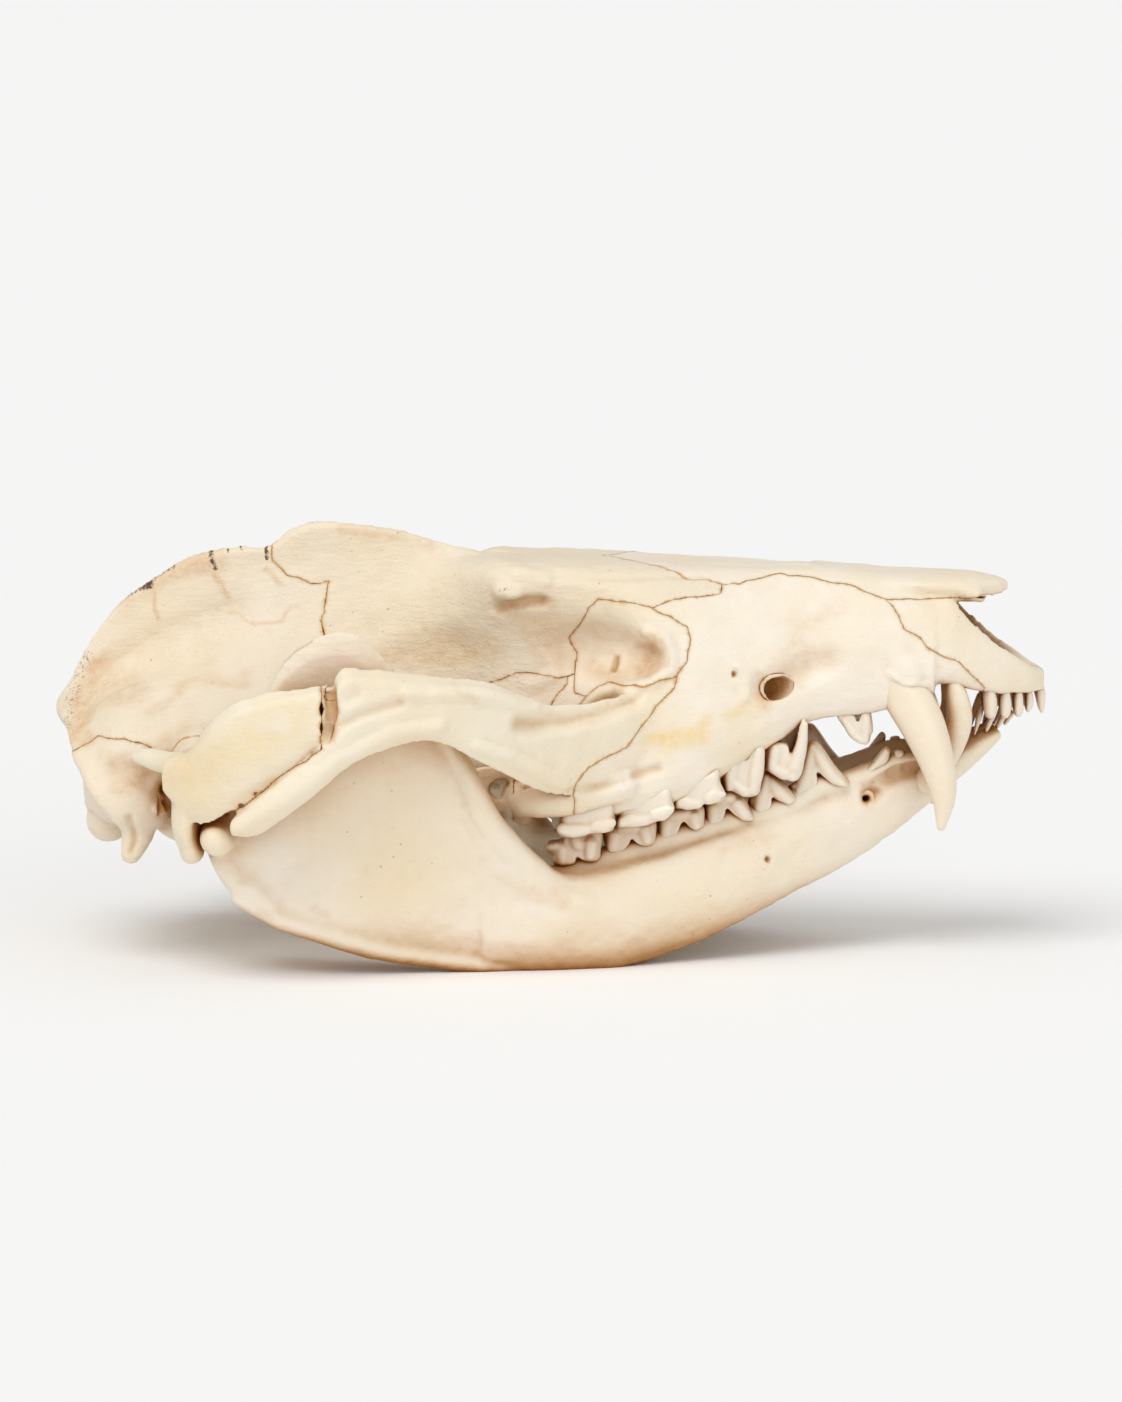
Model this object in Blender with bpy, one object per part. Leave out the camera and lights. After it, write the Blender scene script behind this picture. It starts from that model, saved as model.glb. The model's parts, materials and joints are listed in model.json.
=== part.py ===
"""Skull of an adult male opossum, life size, mouth closed, resting on its two lower jaw bones.

+X points to the snout, +Z is up, -Y is the animal's right side, and z = 0 is the ground.
The sizes below are in millimetres and the scene is in metres. Each bone is its own object.
"""

import math

import bmesh
import bpy
import numpy as np
from mathutils import Matrix, Vector

MM = 0.001
GAP = 0.3
VOXEL = 0.8
FAR = 90.0
CRANIUM_TRIANGLES = 3750
JAW_TRIANGLES = 820
SMOOTH_PASSES = 4

BONE = (0.86, 0.79, 0.66)
PALE_BONE = (0.89, 0.84, 0.74)
WARM_BONE = (0.84, 0.74, 0.57)
IVORY = (0.88, 0.79, 0.62)

# Cranial body, from the back of the head to the nose: station, height of the roof, then
# half-breadth and height of the shoulder, of the side and of the foot, and height of the underside.
BODY = (
    (-60.4, 33.0, 5.0, 32.0, 10.0, 27.5, 7.5, 21.5, 19.5),
    (-57.0, 38.0, 7.5, 36.0, 15.0, 28.0, 11.5, 19.5, 17.5),
    (-50.0, 42.0, 7.5, 39.0, 17.0, 28.0, 13.0, 19.5, 17.5),
    (-42.0, 45.0, 7.5, 41.0, 15.0, 29.0, 11.0, 20.0, 18.0),
    (-34.0, 46.5, 6.5, 42.5, 12.5, 31.0, 9.0, 21.0, 19.0),
    (-26.0, 47.5, 5.2, 44.0, 9.0, 33.0, 6.5, 22.0, 20.0),
    (-18.0, 49.0, 4.2, 46.5, 6.2, 35.0, 5.2, 24.0, 21.5),
    (-12.0, 51.0, 7.0, 49.5, 6.6, 38.0, 6.0, 25.0, 22.5),
    (-6.0, 51.7, 12.2, 49.9, 9.5, 40.0, 10.0, 24.0, 22.5),
    (2.0, 51.6, 11.4, 50.1, 10.5, 39.0, 17.4, 20.6, 22.8),
    (10.0, 51.4, 10.8, 49.8, 14.0, 41.0, 17.6, 21.8, 24.8),
    (18.0, 51.0, 9.0, 49.4, 14.6, 40.0, 14.9, 23.8, 27.4),
    (26.0, 50.6, 7.2, 49.3, 12.9, 40.0, 12.2, 27.4, 30.0),
    (34.0, 50.4, 6.3, 49.2, 10.8, 40.5, 10.3, 29.8, 32.4),
    (42.0, 50.1, 6.2, 48.6, 10.5, 41.0, 9.9, 30.8, 34.4),
    (50.0, 49.0, 6.0, 46.8, 9.8, 41.0, 9.5, 34.6, 36.2),
)
# Fore end of the upper jaw, below the opening of the nose.
MUZZLE = (
    (46.0, 47.0, 5.0, 46.5, 9.6, 41.0, 9.3, 35.5, 37.0),
    (51.5, 47.0, 6.0, 46.6, 9.2, 41.0, 8.6, 35.8, 36.3),
    (55.5, 43.8, 5.6, 43.4, 7.8, 40.0, 7.4, 34.8, 35.6),
    (59.0, 40.4, 4.8, 40.0, 6.4, 37.8, 6.2, 34.0, 34.8),
    (62.5, 37.7, 3.4, 37.4, 4.6, 36.0, 4.4, 33.8, 34.0),
    (64.8, 36.3, 1.5, 36.1, 2.4, 35.4, 2.2, 34.0, 33.9),
)
NOSE_HOLLOW = (
    (34.0, 45.5, 1.5, 45.3, 2.6, 43.5, 1.5, 42.0, 41.8),
    (42.0, 47.4, 3.2, 46.8, 5.4, 43.5, 3.6, 40.4, 40.0),
    (50.0, 47.6, 4.6, 46.8, 6.8, 43.0, 5.0, 39.2, 38.6),
    (57.0, 46.8, 5.0, 46.4, 5.6, 42.5, 4.4, 38.0, 37.4),
    (62.0, 46.4, 4.4, 46.0, 4.6, 42.0, 2.8, 37.4, 36.9),
    (68.0, 46.2, 4.0, 46.0, 4.2, 42.0, 2.2, 37.2, 36.8),
)
# Nose roof: station, half-breadth, height along the middle, thickness.
NOSE_ROOF = ((40.0, 6.3, 50.1, 3.0), (50.0, 6.4, 49.7, 2.2), (55.5, 5.4, 49.2, 1.7), (59.7, 2.6, 48.1, 1.1))

# Edge of the crest along the middle of the roof, from the back of the head to the brow.
CREST_EDGE = (
    (-64.7, 31.6),
    (-63.8, 34.8),
    (-62.3, 38.5),
    (-57.0, 44.8),
    (-51.7, 48.6),
    (-46.5, 51.6),
    (-41.0, 52.8),
    (-37.0, 52.9),
    (-33.4, 55.3),
    (-28.2, 56.0),
    (-17.7, 54.6),
    (-9.0, 52.3),
)
CREST_FOOT = ((-63.0, 28.0), (-57.0, 34.0), (-45.0, 40.0), (-30.0, 43.0), (-18.0, 45.5), (-9.0, 48.0))
CREST_THICKNESS = 1.5
CREST_FOOT_THICKNESS = 4.2
# Crest across the back of the head: station, half-breadth, height.
NUCHAL_EDGE = (
    (-63.8, 0.0, 32.3),
    (-63.0, 5.0, 31.2),
    (-60.6, 11.5, 29.6),
    (-57.4, 16.2, 31.4),
    (-53.6, 18.4, 31.0),
    (-49.5, 20.0, 29.0),
)
NUCHAL_RADIUS = 1.3

# Lumps at the back of the head: centre, then radii along the three axes.
CONDYLE = ((-56.6, 7.2, 18.2), (2.9, 3.1, 2.9))
MASTOID = ((-52.0, 16.5, 22.5), (3.2, 3.4, 5.0))
EAR_CAPSULE = ((-47.0, 11.5, 18.6), (4.5, 3.6, 3.0))
PAROCCIPITAL = ((-54.0, 13.6, 21.0), (-54.2, 14.0, 16.5), (-54.5, 14.0, 12.9))
PAROCCIPITAL_RADII = (2.8, 2.2, 1.4)
FORAMEN_MAGNUM = ((-63.0, 0.0, 22.5), (8.0, 4.6, 3.9))

# Cheek arch. A rail is a row of (station, half-breadth, height).
SQUAMOSAL_TOP = (
    (-48.5, 27.5, 29.0),
    (-45.8, 30.0, 30.4),
    (-42.0, 32.3, 35.3),
    (-37.0, 33.4, 37.8),
    (-28.0, 33.4, 39.4),
)
SQUAMOSAL_FOOT = (
    (-49.0, 26.5, 24.0),
    (-45.0, 29.5, 20.5),
    (-41.0, 32.0, 21.8),
    (-37.0, 33.2, 25.2),
    (-28.0, 33.2, 31.4),
)
SQUAMOSAL_THICKNESS = 2.8
SPINE = ((-54.0, 20.0, 27.0), (-50.0, 23.5, 28.0), (-46.0, 28.5, 28.0))
SPINE_RADII = (0.9, 1.3, 2.2)
GLENOID_ROOT = ((-45.5, 12.0, 26.0), (-45.0, 20.0, 24.4), (-43.5, 29.0, 24.4))
GLENOID_RADII = (5.0, 3.4, 3.2)
POSTGLENOID = ((-47.0, 24.0, 23.0), (-46.9, 24.5, 18.5), (-46.6, 25.0, 14.6))
POSTGLENOID_RADII = ((2.8, 4.8), (2.2, 4.2), (1.7, 2.8))
# Rear edge of the palate, across the head, and the swelling behind the last upper tooth.
PALATE_EDGE = ((-4.6, 0.0, 21.6), (-4.8, 8.0, 20.8), (-3.4, 15.5, 20.4))
PALATE_EDGE_RADII = ((2.6, 1.4), (2.8, 1.5), (2.4, 1.6))
TUBEROSITY = ((-3.6, 17.6, 21.4), (2.0, 18.6, 22.2), (9.0, 17.6, 24.0))
TUBEROSITY_RADII = (1.8, 2.4, 2.6)
JUGAL_TOP = (
    (-40.3, 33.0, 21.8),
    (-37.0, 33.4, 25.0),
    (-28.6, 33.6, 32.0),
    (-27.0, 33.4, 40.2),
    (-23.0, 32.6, 40.9),
    (-16.0, 30.8, 39.8),
    (-7.5, 28.0, 38.6),
    (-3.0, 25.6, 36.5),
    (1.0, 23.2, 35.5),
    (6.5, 20.2, 35.7),
    (13.0, 16.0, 36.8),
)
JUGAL_FOOT = (
    (-40.3, 33.0, 19.6),
    (-37.0, 33.4, 19.7),
    (-30.5, 33.6, 24.4),
    (-26.4, 33.2, 27.8),
    (-22.5, 32.4, 29.9),
    (-15.2, 30.6, 31.4),
    (-9.5, 28.4, 28.4),
    (-4.2, 25.2, 25.4),
    (0.3, 22.8, 23.8),
    (5.0, 20.6, 22.6),
    (13.0, 16.0, 25.0),
)
JUGAL_THICKNESS = 3.4
ORBIT = ((3.5, 20.5, 41.0), (11.5, 11.5, 6.6))

# Lower jaw, right side. Rails as above.
JAW_TOP = (
    (-9.0, 19.5, 15.0),
    (-2.0, 17.5, 12.6),
    (6.5, 15.2, 13.0),
    (16.0, 12.2, 15.4),
    (24.0, 9.8, 17.6),
    (32.0, 7.6, 19.4),
    (39.0, 6.2, 22.2),
    (46.0, 5.0, 24.8),
    (53.0, 4.6, 27.0),
    (58.5, 2.6, 29.4),
)
JAW_FOOT = (
    (-9.0, 20.8, 0.7),
    (-0.6, 19.4, -0.6),
    (8.0, 17.0, -0.4),
    (16.0, 13.6, 1.2),
    (24.0, 10.4, 4.6),
    (32.0, 7.0, 8.2),
    (40.0, 4.4, 12.2),
    (46.5, 3.2, 16.8),
    (53.4, 2.6, 22.8),
    (58.6, 2.0, 27.6),
)
JAW_THICKNESS = ((-9.0, 4.2), (0.0, 6.4), (12.0, 6.6), (30.0, 5.2), (46.0, 4.6), (58.0, 3.0))
RAMUS_TOP = (
    (-41.0, 25.5, 23.0),
    (-37.6, 25.0, 33.0),
    (-34.0, 24.8, 41.0),
    (-30.0, 24.6, 44.4),
    (-26.5, 24.5, 45.0),
    (-22.0, 24.4, 42.2),
    (-17.0, 24.0, 36.2),
    (-12.0, 22.8, 28.4),
    (-8.0, 21.8, 19.8),
    (-3.0, 19.4, 13.4),
    (2.0, 17.4, 9.0),
)
RAMUS_FOOT = (
    (-42.6, 25.6, 15.0),
    (-39.6, 25.8, 10.4),
    (-35.1, 25.4, 7.6),
    (-30.6, 24.8, 5.8),
    (-26.5, 24.2, 4.3),
    (-22.0, 23.4, 2.9),
    (-17.0, 22.4, 1.9),
    (-12.0, 21.4, 1.1),
    (-8.0, 20.7, 0.7),
    (-3.0, 19.6, 0.6),
    (2.0, 18.0, 2.0),
)
RAMUS_THICKNESS = 2.0
RIM_RADIUS = 1.7
JAW_HINGE = ((-42.2, 18.2, 18.6), (-42.4, 24.0, 18.8), (-42.4, 30.0, 18.6))
JAW_HINGE_RADII = (1.8, 2.6, 2.2)
FOSSA_RADII = (2.6, 3.3, 2.9)
ANGLE_OUTER = ((-13.0, 20.6, 2.4), (-24.0, 23.2, 4.6), (-34.0, 24.6, 8.2), (-41.0, 23.0, 12.6))
ANGLE_INNER = ((-13.0, 17.0, 3.2), (-24.0, 15.6, 5.0), (-34.0, 14.0, 7.8), (-41.0, 12.4, 10.6))
ANGLE_THICKNESS = 1.8

# Grown teeth of the right side: station, half-breadth, base height, tip height, length, breadth, cusps.
UPPER_TEETH = (
    (64.0, 1.4, 35.2, 30.8, 1.6, 1.5, 1),
    (62.4, 3.1, 34.9, 31.0, 1.7, 1.8, 1),
    (60.8, 4.6, 34.7, 30.6, 2.0, 1.8, 1),
    (59.0, 5.8, 34.8, 30.6, 2.2, 1.9, 1),
    (57.0, 6.9, 35.4, 30.8, 2.4, 2.0, 1),
    (40.0, 9.4, 32.6, 27.8, 4.6, 2.4, 1),
    (30.8, 10.3, 31.4, 23.3, 5.7, 2.8, 1),
    (25.0, 11.6, 28.6, 21.3, 5.8, 3.2, 1),
    (18.8, 14.2, 25.4, 20.0, 6.6, 4.0, 2),
    (12.0, 16.6, 23.4, 18.4, 6.8, 4.2, 2),
    (5.2, 18.4, 22.0, 17.1, 6.2, 4.2, 2),
    (-0.2, 17.3, 21.6, 17.4, 3.4, 4.0, 2),
)
LOWER_TEETH = (
    (60.2, 1.2, 28.4, 31.6, 1.7, 1.4, 1),
    (58.8, 2.4, 27.8, 31.4, 1.7, 1.5, 1),
    (57.2, 3.4, 27.4, 31.4, 1.7, 1.6, 1),
    (55.6, 3.9, 26.8, 30.6, 1.5, 1.5, 1),
    (42.8, 6.0, 22.6, 27.0, 3.6, 1.9, 1),
    (36.0, 6.6, 20.2, 27.0, 5.4, 2.2, 1),
    (28.8, 8.2, 17.8, 24.4, 5.8, 2.4, 1),
    (23.0, 9.8, 16.4, 22.2, 5.8, 2.7, 2),
    (16.8, 11.6, 14.8, 20.0, 6.0, 2.9, 2),
    (10.2, 13.4, 13.2, 18.2, 6.0, 3.0, 2),
    (3.2, 15.2, 12.2, 17.0, 6.0, 3.0, 2),
)
# Canine teeth: points along the middle of the tooth, from the root to the tip, and the half-thickness there.
UPPER_CANINE = (
    (44.6, 8.6, 40.0), (46.6, 9.8, 34.8), (49.6, 10.9, 29.2), (51.0, 11.6, 23.0), (50.8, 12.0, 17.4),
)
UPPER_CANINE_RADII = (2.6, 3.1, 2.6, 1.9, 0.5)
LOWER_CANINE = (
    (49.0, 5.0, 22.0), (51.4, 6.0, 25.6), (53.3, 7.0, 30.2), (53.0, 7.6, 34.0), (52.2, 7.8, 37.0),
)
LOWER_CANINE_RADII = (1.8, 1.9, 1.75, 1.4, 0.6)
CANINE_FLATNESS = 0.8
CANINE_NOTCH = 0.8

# Where the bones meet. Each bone has one block or more: its outline in side view as (station, height),
# then the half-breadths it lies between. A block of both sides starts at a negative half-breadth.
PREMAXILLA = (
    (((43.6, 46.6), (49.0, 41.5), (54.8, 37.6), (54.4, 30.0), (70.0, 30.0), (70.0, 46.6)), 0.0, 20.0),
)
NASAL_SIDE = (
    (2.0, 48.0), (22.0, 48.4), (30.0, 49.0), (38.0, 48.1), (43.4, 46.6),
    (70.0, 46.6), (70.0, 60.0), (2.0, 60.0),
)
NASAL_PLAN = (
    (7.0, 0.0), (12.0, 6.0), (18.0, 8.8), (26.0, 8.0), (36.0, 7.4), (70.0, 9.0),
    (70.0, -9.0), (36.0, -7.4), (26.0, -8.0), (18.0, -8.8), (12.0, -6.0),
)
NASAL = ((NASAL_SIDE, -9.5, 9.5),)
JUGAL_OUTLINE = (
    (-28.6, 45.0), (-28.6, 31.2), (-37.0, 25.0), (-43.0, 20.4), (-43.0, 10.0), (3.0, 10.0), (2.6, 23.4),
    (5.0, 26.7), (10.3, 28.9), (14.2, 33.9), (16.3, 37.4), (8.0, 45.0),
)
JUGAL = ((JUGAL_OUTLINE, 19.6, 45.0), (((2.6, 27.0), (16.3, 27.0), (16.3, 45.0), (2.6, 45.0)), 17.2, 20.0))
LACRIMAL_OUTLINE = ((5.3, 46.8), (16.3, 45.0), (18.1, 43.0), (17.6, 40.4), (15.4, 37.4), (5.0, 36.0))
LACRIMAL = ((LACRIMAL_OUTLINE, 10.6, 20.0),)
SQUAMOSAL_OUTLINE = (
    (-28.9, 50.0), (-28.9, 26.0), (-34.0, 22.0), (-52.0, 22.0), (-52.5, 26.0), (-60.0, 26.0), (-60.0, 30.6),
    (-48.0, 30.6), (-48.0, 50.0),
)
SQUAMOSAL = (
    (SQUAMOSAL_OUTLINE, 13.4, 45.0),
    (((-36.0, 24.0), (-36.0, 8.0), (-50.5, 8.0), (-50.5, 24.0)), 17.6, 45.0),
)
OCCIPITAL_OUTLINE = (
    (-70.0, 33.6), (-61.5, 33.0), (-57.0, 30.0), (-52.6, 26.0), (-50.0, 20.0), (-38.0, 21.0), (-38.0, 8.0),
    (-70.0, 8.0),
)
OCCIPITAL = ((OCCIPITAL_OUTLINE, -30.0, 30.0),)
PARIETAL_OUTLINE = (
    (-70.0, 60.0), (-70.0, 20.0), (-48.0, 20.0), (-40.0, 24.5), (-30.5, 27.0), (-29.5, 40.0), (-28.8, 47.6),
    (-34.0, 49.0), (-36.6, 54.0), (-36.6, 60.0),
)
PARIETAL = ((PARIETAL_OUTLINE, -30.0, 30.0),)
FRONTAL_OUTLINE = (
    (-40.0, 60.0), (-32.0, 36.0), (-31.0, 29.0), (-16.0, 33.0), (-7.4, 37.0), (3.0, 37.6), (5.3, 46.8),
    (13.0, 46.4), (24.0, 47.8), (24.0, 60.0),
)
FRONTAL = ((FRONTAL_OUTLINE, -30.0, 30.0),)
MAXILLA_OUTLINE = (
    (-6.0, 10.0), (-6.0, 23.4), (1.5, 27.0), (4.6, 36.0), (4.6, 60.0), (60.0, 60.0), (60.0, 10.0),
)
MAXILLA = ((MAXILLA_OUTLINE, 0.0, 30.0),)


def clear_scene():
    for obj in list(bpy.data.objects):
        bpy.data.objects.remove(obj, do_unlink=True)


def material(name, colour, roughness):
    made = bpy.data.materials.new(name)
    made.use_nodes = True
    shader = made.node_tree.nodes["Principled BSDF"]
    shader.inputs["Base Color"].default_value = (*colour, 1.0)
    shader.inputs["Roughness"].default_value = roughness
    shader.inputs["Metallic"].default_value = 0.0
    made.diffuse_color = (*colour, 1.0)
    return made


def curve_through(points, count):
    """Points spaced evenly along a smooth curve that passes through the given ones."""
    knots = np.array(points, dtype=float)
    padded = np.vstack([2 * knots[0] - knots[1], knots, 2 * knots[-1] - knots[-2]])
    found = []
    for place in np.linspace(0, len(knots) - 1 - 1e-9, count):
        span = int(place)
        found.append(spline_point(padded[span : span + 4], place - span))
    return np.array(found)


def closed_curve(points, per_span):
    """A smooth closed curve through the points, with per_span points from each to the next."""
    knots = np.array(points, dtype=float)
    found = []
    for span in range(len(knots)):
        around = knots[[(span + step - 1) % len(knots) for step in range(4)]]
        found += [spline_point(around, step / per_span) for step in range(per_span)]
    return np.array(found)


def spline_point(four, t):
    before, start, end, after = four
    return 0.5 * (
        2 * start
        + (end - before) * t
        + (2 * before - 5 * start + 4 * end - after) * t * t
        + (3 * start - before - 3 * end + after) * t**3
    )


def solid(name, rings):
    """A closed mesh object whose skin runs through rings of equally many points."""
    made = bmesh.new()
    loops = [[made.verts.new(Vector(point) * MM) for point in ring] for ring in rings]
    for first, second in zip(loops, loops[1:]):
        for i in range(len(first)):
            following = (i + 1) % len(first)
            made.faces.new((first[i], first[following], second[following], second[i]))
    made.faces.new(loops[0])
    made.faces.new(loops[-1])
    bmesh.ops.recalc_face_normals(made, faces=made.faces)
    return mesh_object(name, made)


def mesh_object(name, made):
    mesh = bpy.data.meshes.new(name)
    made.to_mesh(mesh)
    made.free()
    obj = bpy.data.objects.new(name, mesh)
    bpy.context.scene.collection.objects.link(obj)
    return obj


def body_form(name, rows, rings, per_span=4):
    """A form of even left and right halves, from rows laid out as BODY's are."""
    sections = []
    for x, top, sh_y, sh_z, side_y, side_z, foot_y, foot_z, low in curve_through(rows, rings):
        half = [(sh_y, sh_z), (side_y, side_z), (foot_y, foot_z)]
        outline = [(0.0, top), *half, (0.0, low), *[(-y, z) for y, z in reversed(half)]]
        sections.append([(x, y, z) for y, z in closed_curve(outline, per_span)])
    return solid(name, sections)


def tube(name, points, radii, rings=12, sides=12):
    """A bar of round or oval section, with round ends. A radius may be a pair: along X, then across."""
    pairs = [(radius, radius) if isinstance(radius, float) else radius for radius in radii]
    middle = curve_through(points, rings)
    spread = curve_through(pairs, rings)
    sections = []
    for index, centre in enumerate(middle):
        along = Vector(middle[min(index + 1, rings - 1)] - middle[max(index - 1, 0)]).normalized()
        across = Vector((0.0, 1.0, 0.0)) if abs(along.y) < 0.8 else Vector((1.0, 0.0, 0.0))
        first = along.cross(across).normalized()
        second = along.cross(first).normalized()
        wide, deep = spread[index]
        ring = []
        for step in range(sides):
            turn = 2 * math.pi * step / sides
            ring.append(Vector(centre) + first * wide * math.cos(turn) + second * deep * math.sin(turn))
        sections.append(ring)
    round_ends(sections, middle, spread)
    return solid(name, sections)


def round_ends(sections, middle, spread):
    """Puts a smaller ring beyond each end of a bar, half a radius out."""
    for end, inner, place in ((0, 1, 0), (-1, -2, len(sections) + 1)):
        outward = Vector(middle[end] - middle[inner]).normalized() * float(spread[end].min()) * 0.6
        centre = Vector(middle[end])
        ring = [centre + (Vector(point) - centre) * 0.55 + outward for point in sections[end]]
        sections.insert(place, ring)


def plate(name, top, foot, thickness, rings=24, across=5):
    """A plate between two rails, as thick as asked in the middle and rounded at both rails."""
    upper = curve_through(top, rings)
    lower = curve_through(foot, rings)
    sections = []
    for index in range(rings):
        step = min(index + 1, rings - 1), max(index - 1, 0)
        along = Vector(upper[step[0]] + lower[step[0]] - upper[step[1]] - lower[step[1]]).normalized()
        drop = Vector(upper[index] - lower[index])
        outward = along.cross(drop).normalized()
        thick = thickness if isinstance(thickness, float) else width_at(thickness, upper[index][0])
        near, far = [], []
        for part in range(across):
            share = part / (across - 1)
            swell = 0.5 * thick * (1 - (2 * share - 1) ** 4 * 0.62)
            point = Vector(lower[index]) + drop * share
            near.append(point + outward * swell)
            far.append(point - outward * swell)
        sections.append(near + far[::-1])
    return solid(name, sections)


def width_at(rows, x):
    stations, widths = zip(*rows)
    return float(np.interp(x, stations, widths))


def ball(name, centre, radii):
    made = bmesh.new()
    bmesh.ops.create_uvsphere(made, u_segments=20, v_segments=12, radius=1.0)
    place = Matrix.Translation(Vector(centre) * MM) @ Matrix.Diagonal((*(r * MM for r in radii), 1.0))
    bmesh.ops.transform(made, matrix=place, verts=made.verts)
    return mesh_object(name, made)


def box(name, low, high):
    corners = ((low[0], low[1]), (high[0], low[1]), (high[0], high[1]), (low[0], high[1]))
    return solid(name, [[(x, y, z) for x, y in corners] for z in (low[2], high[2])])


def mirrored(obj):
    """A second object, the first one's mirror image across the middle of the head."""
    made = bmesh.new()
    made.from_mesh(obj.data)
    bmesh.ops.scale(made, vec=(1.0, -1.0, 1.0), verts=made.verts)
    bmesh.ops.reverse_faces(made, faces=made.faces)
    return mesh_object(obj.name + "_other", made)


def both_sides(obj):
    return [obj, mirrored(obj)]


def apply_modifiers(obj):
    graph = bpy.context.evaluated_depsgraph_get()
    mesh = bpy.data.meshes.new_from_object(obj.evaluated_get(graph))
    obj.modifiers.clear()
    old = obj.data
    obj.data = mesh
    bpy.data.meshes.remove(old)


def join(name, objects):
    made = bmesh.new()
    for obj in objects:
        made.from_mesh(obj.data)
        bpy.data.objects.remove(obj, do_unlink=True)
    return mesh_object(name, made)


def cut(obj, tool, operation, keep_tool=False):
    boolean = obj.modifiers.new("Cut", "BOOLEAN")
    boolean.operation = operation
    boolean.solver = "EXACT"
    boolean.object = tool
    apply_modifiers(obj)
    if not keep_tool:
        bpy.data.objects.remove(tool, do_unlink=True)


def grow_together(name, forms, triangles):
    """Fuses overlapping forms into one smooth skin of about the given number of triangles."""
    whole = join(name, forms)
    remesh = whole.modifiers.new("Fuse", "REMESH")
    remesh.mode = "VOXEL"
    remesh.voxel_size = VOXEL * MM
    smooth = whole.modifiers.new("Smooth", "SMOOTH")
    smooth.factor = 0.5
    smooth.iterations = SMOOTH_PASSES
    apply_modifiers(whole)
    keep_largest(whole)
    decimate = whole.modifiers.new("Thin", "DECIMATE")
    decimate.ratio = triangles / (2 * len(whole.data.polygons))
    apply_modifiers(whole)
    return whole


def keep_largest(obj):
    """Deletes every loose body of the mesh but the one with most volume."""
    made = bmesh.new()
    made.from_mesh(obj.data)
    bmesh.ops.remove_doubles(made, verts=made.verts, dist=1e-7)
    bmesh.ops.triangulate(made, faces=made.faces)
    seen = set()
    bodies = []
    for start in made.verts:
        if start in seen:
            continue
        seen.add(start)
        body = [start]
        for vert in body:
            fresh = [edge.other_vert(vert) for edge in vert.link_edges]
            fresh = [other for other in fresh if other not in seen]
            seen.update(fresh)
            body += fresh
        bodies.append(body)
    bodies.sort(key=body_volume)
    for body in bodies[:-1]:
        bmesh.ops.delete(made, geom=body, context="VERTS")
    made.to_mesh(obj.data)
    made.free()


def body_volume(verts):
    faces = {face for vert in verts for face in vert.link_faces}
    total = 0.0
    for face in faces:
        a, b, c = (vert.co for vert in face.verts[:3])
        total += a.dot(b.cross(c))
    return abs(total)


def offset_outline(outline, distance):
    """The outline moved outward by the distance, with its corners kept sharp."""
    points = [Vector(point) for point in outline]
    area = sum(a.x * b.y - b.x * a.y for a, b in zip(points, points[1:] + points[:1]))
    side = 1.0 if area > 0 else -1.0
    moved = []
    for i, point in enumerate(points):
        before = (point - points[i - 1]).normalized()
        after = (points[(i + 1) % len(points)] - point).normalized()
        normal = Vector((before.y + after.y, -before.x - after.x)).normalized() * side
        reach = max(0.5, normal.dot(Vector((after.y, -after.x)) * side))
        moved.append(point + normal * (distance / reach))
    return moved


def block(blocks, side, distance, plan=None):
    """The space of a bone's blocks, grown by the distance. A side of 1 or -1 keeps to that side of the head."""
    made = []
    for outline, inner, outer in blocks:
        low, high = inner - distance, outer + distance
        if side:
            low, high = sorted((side * low, side * high))
        points = offset_outline(outline, distance)
        made.append(solid("Block", [[(p.x, y, p.y) for p in points] for y in (low, high)]))
    for other in made[1:]:
        cut(made[0], other, "UNION")
    if plan:
        points = offset_outline(plan, distance)
        above = solid("Plan", [[(p.x, p.y, z) for p in points] for z in (0.0, FAR)])
        cut(made[0], above, "INTERSECT")
    return made[0]


def take_bone(whole, name, blocks, side=0, plan=None):
    """Parts one bone from the whole with a thin cut, and returns it as its own object."""
    bone = bpy.data.objects.new(name, whole.data.copy())
    bpy.context.scene.collection.objects.link(bone)
    cut(bone, block(blocks, side, -GAP / 2, plan), "INTERSECT")
    keep_largest(bone)
    cut(whole, block(blocks, side, GAP / 2, plan), "DIFFERENCE")
    return bone


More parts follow.
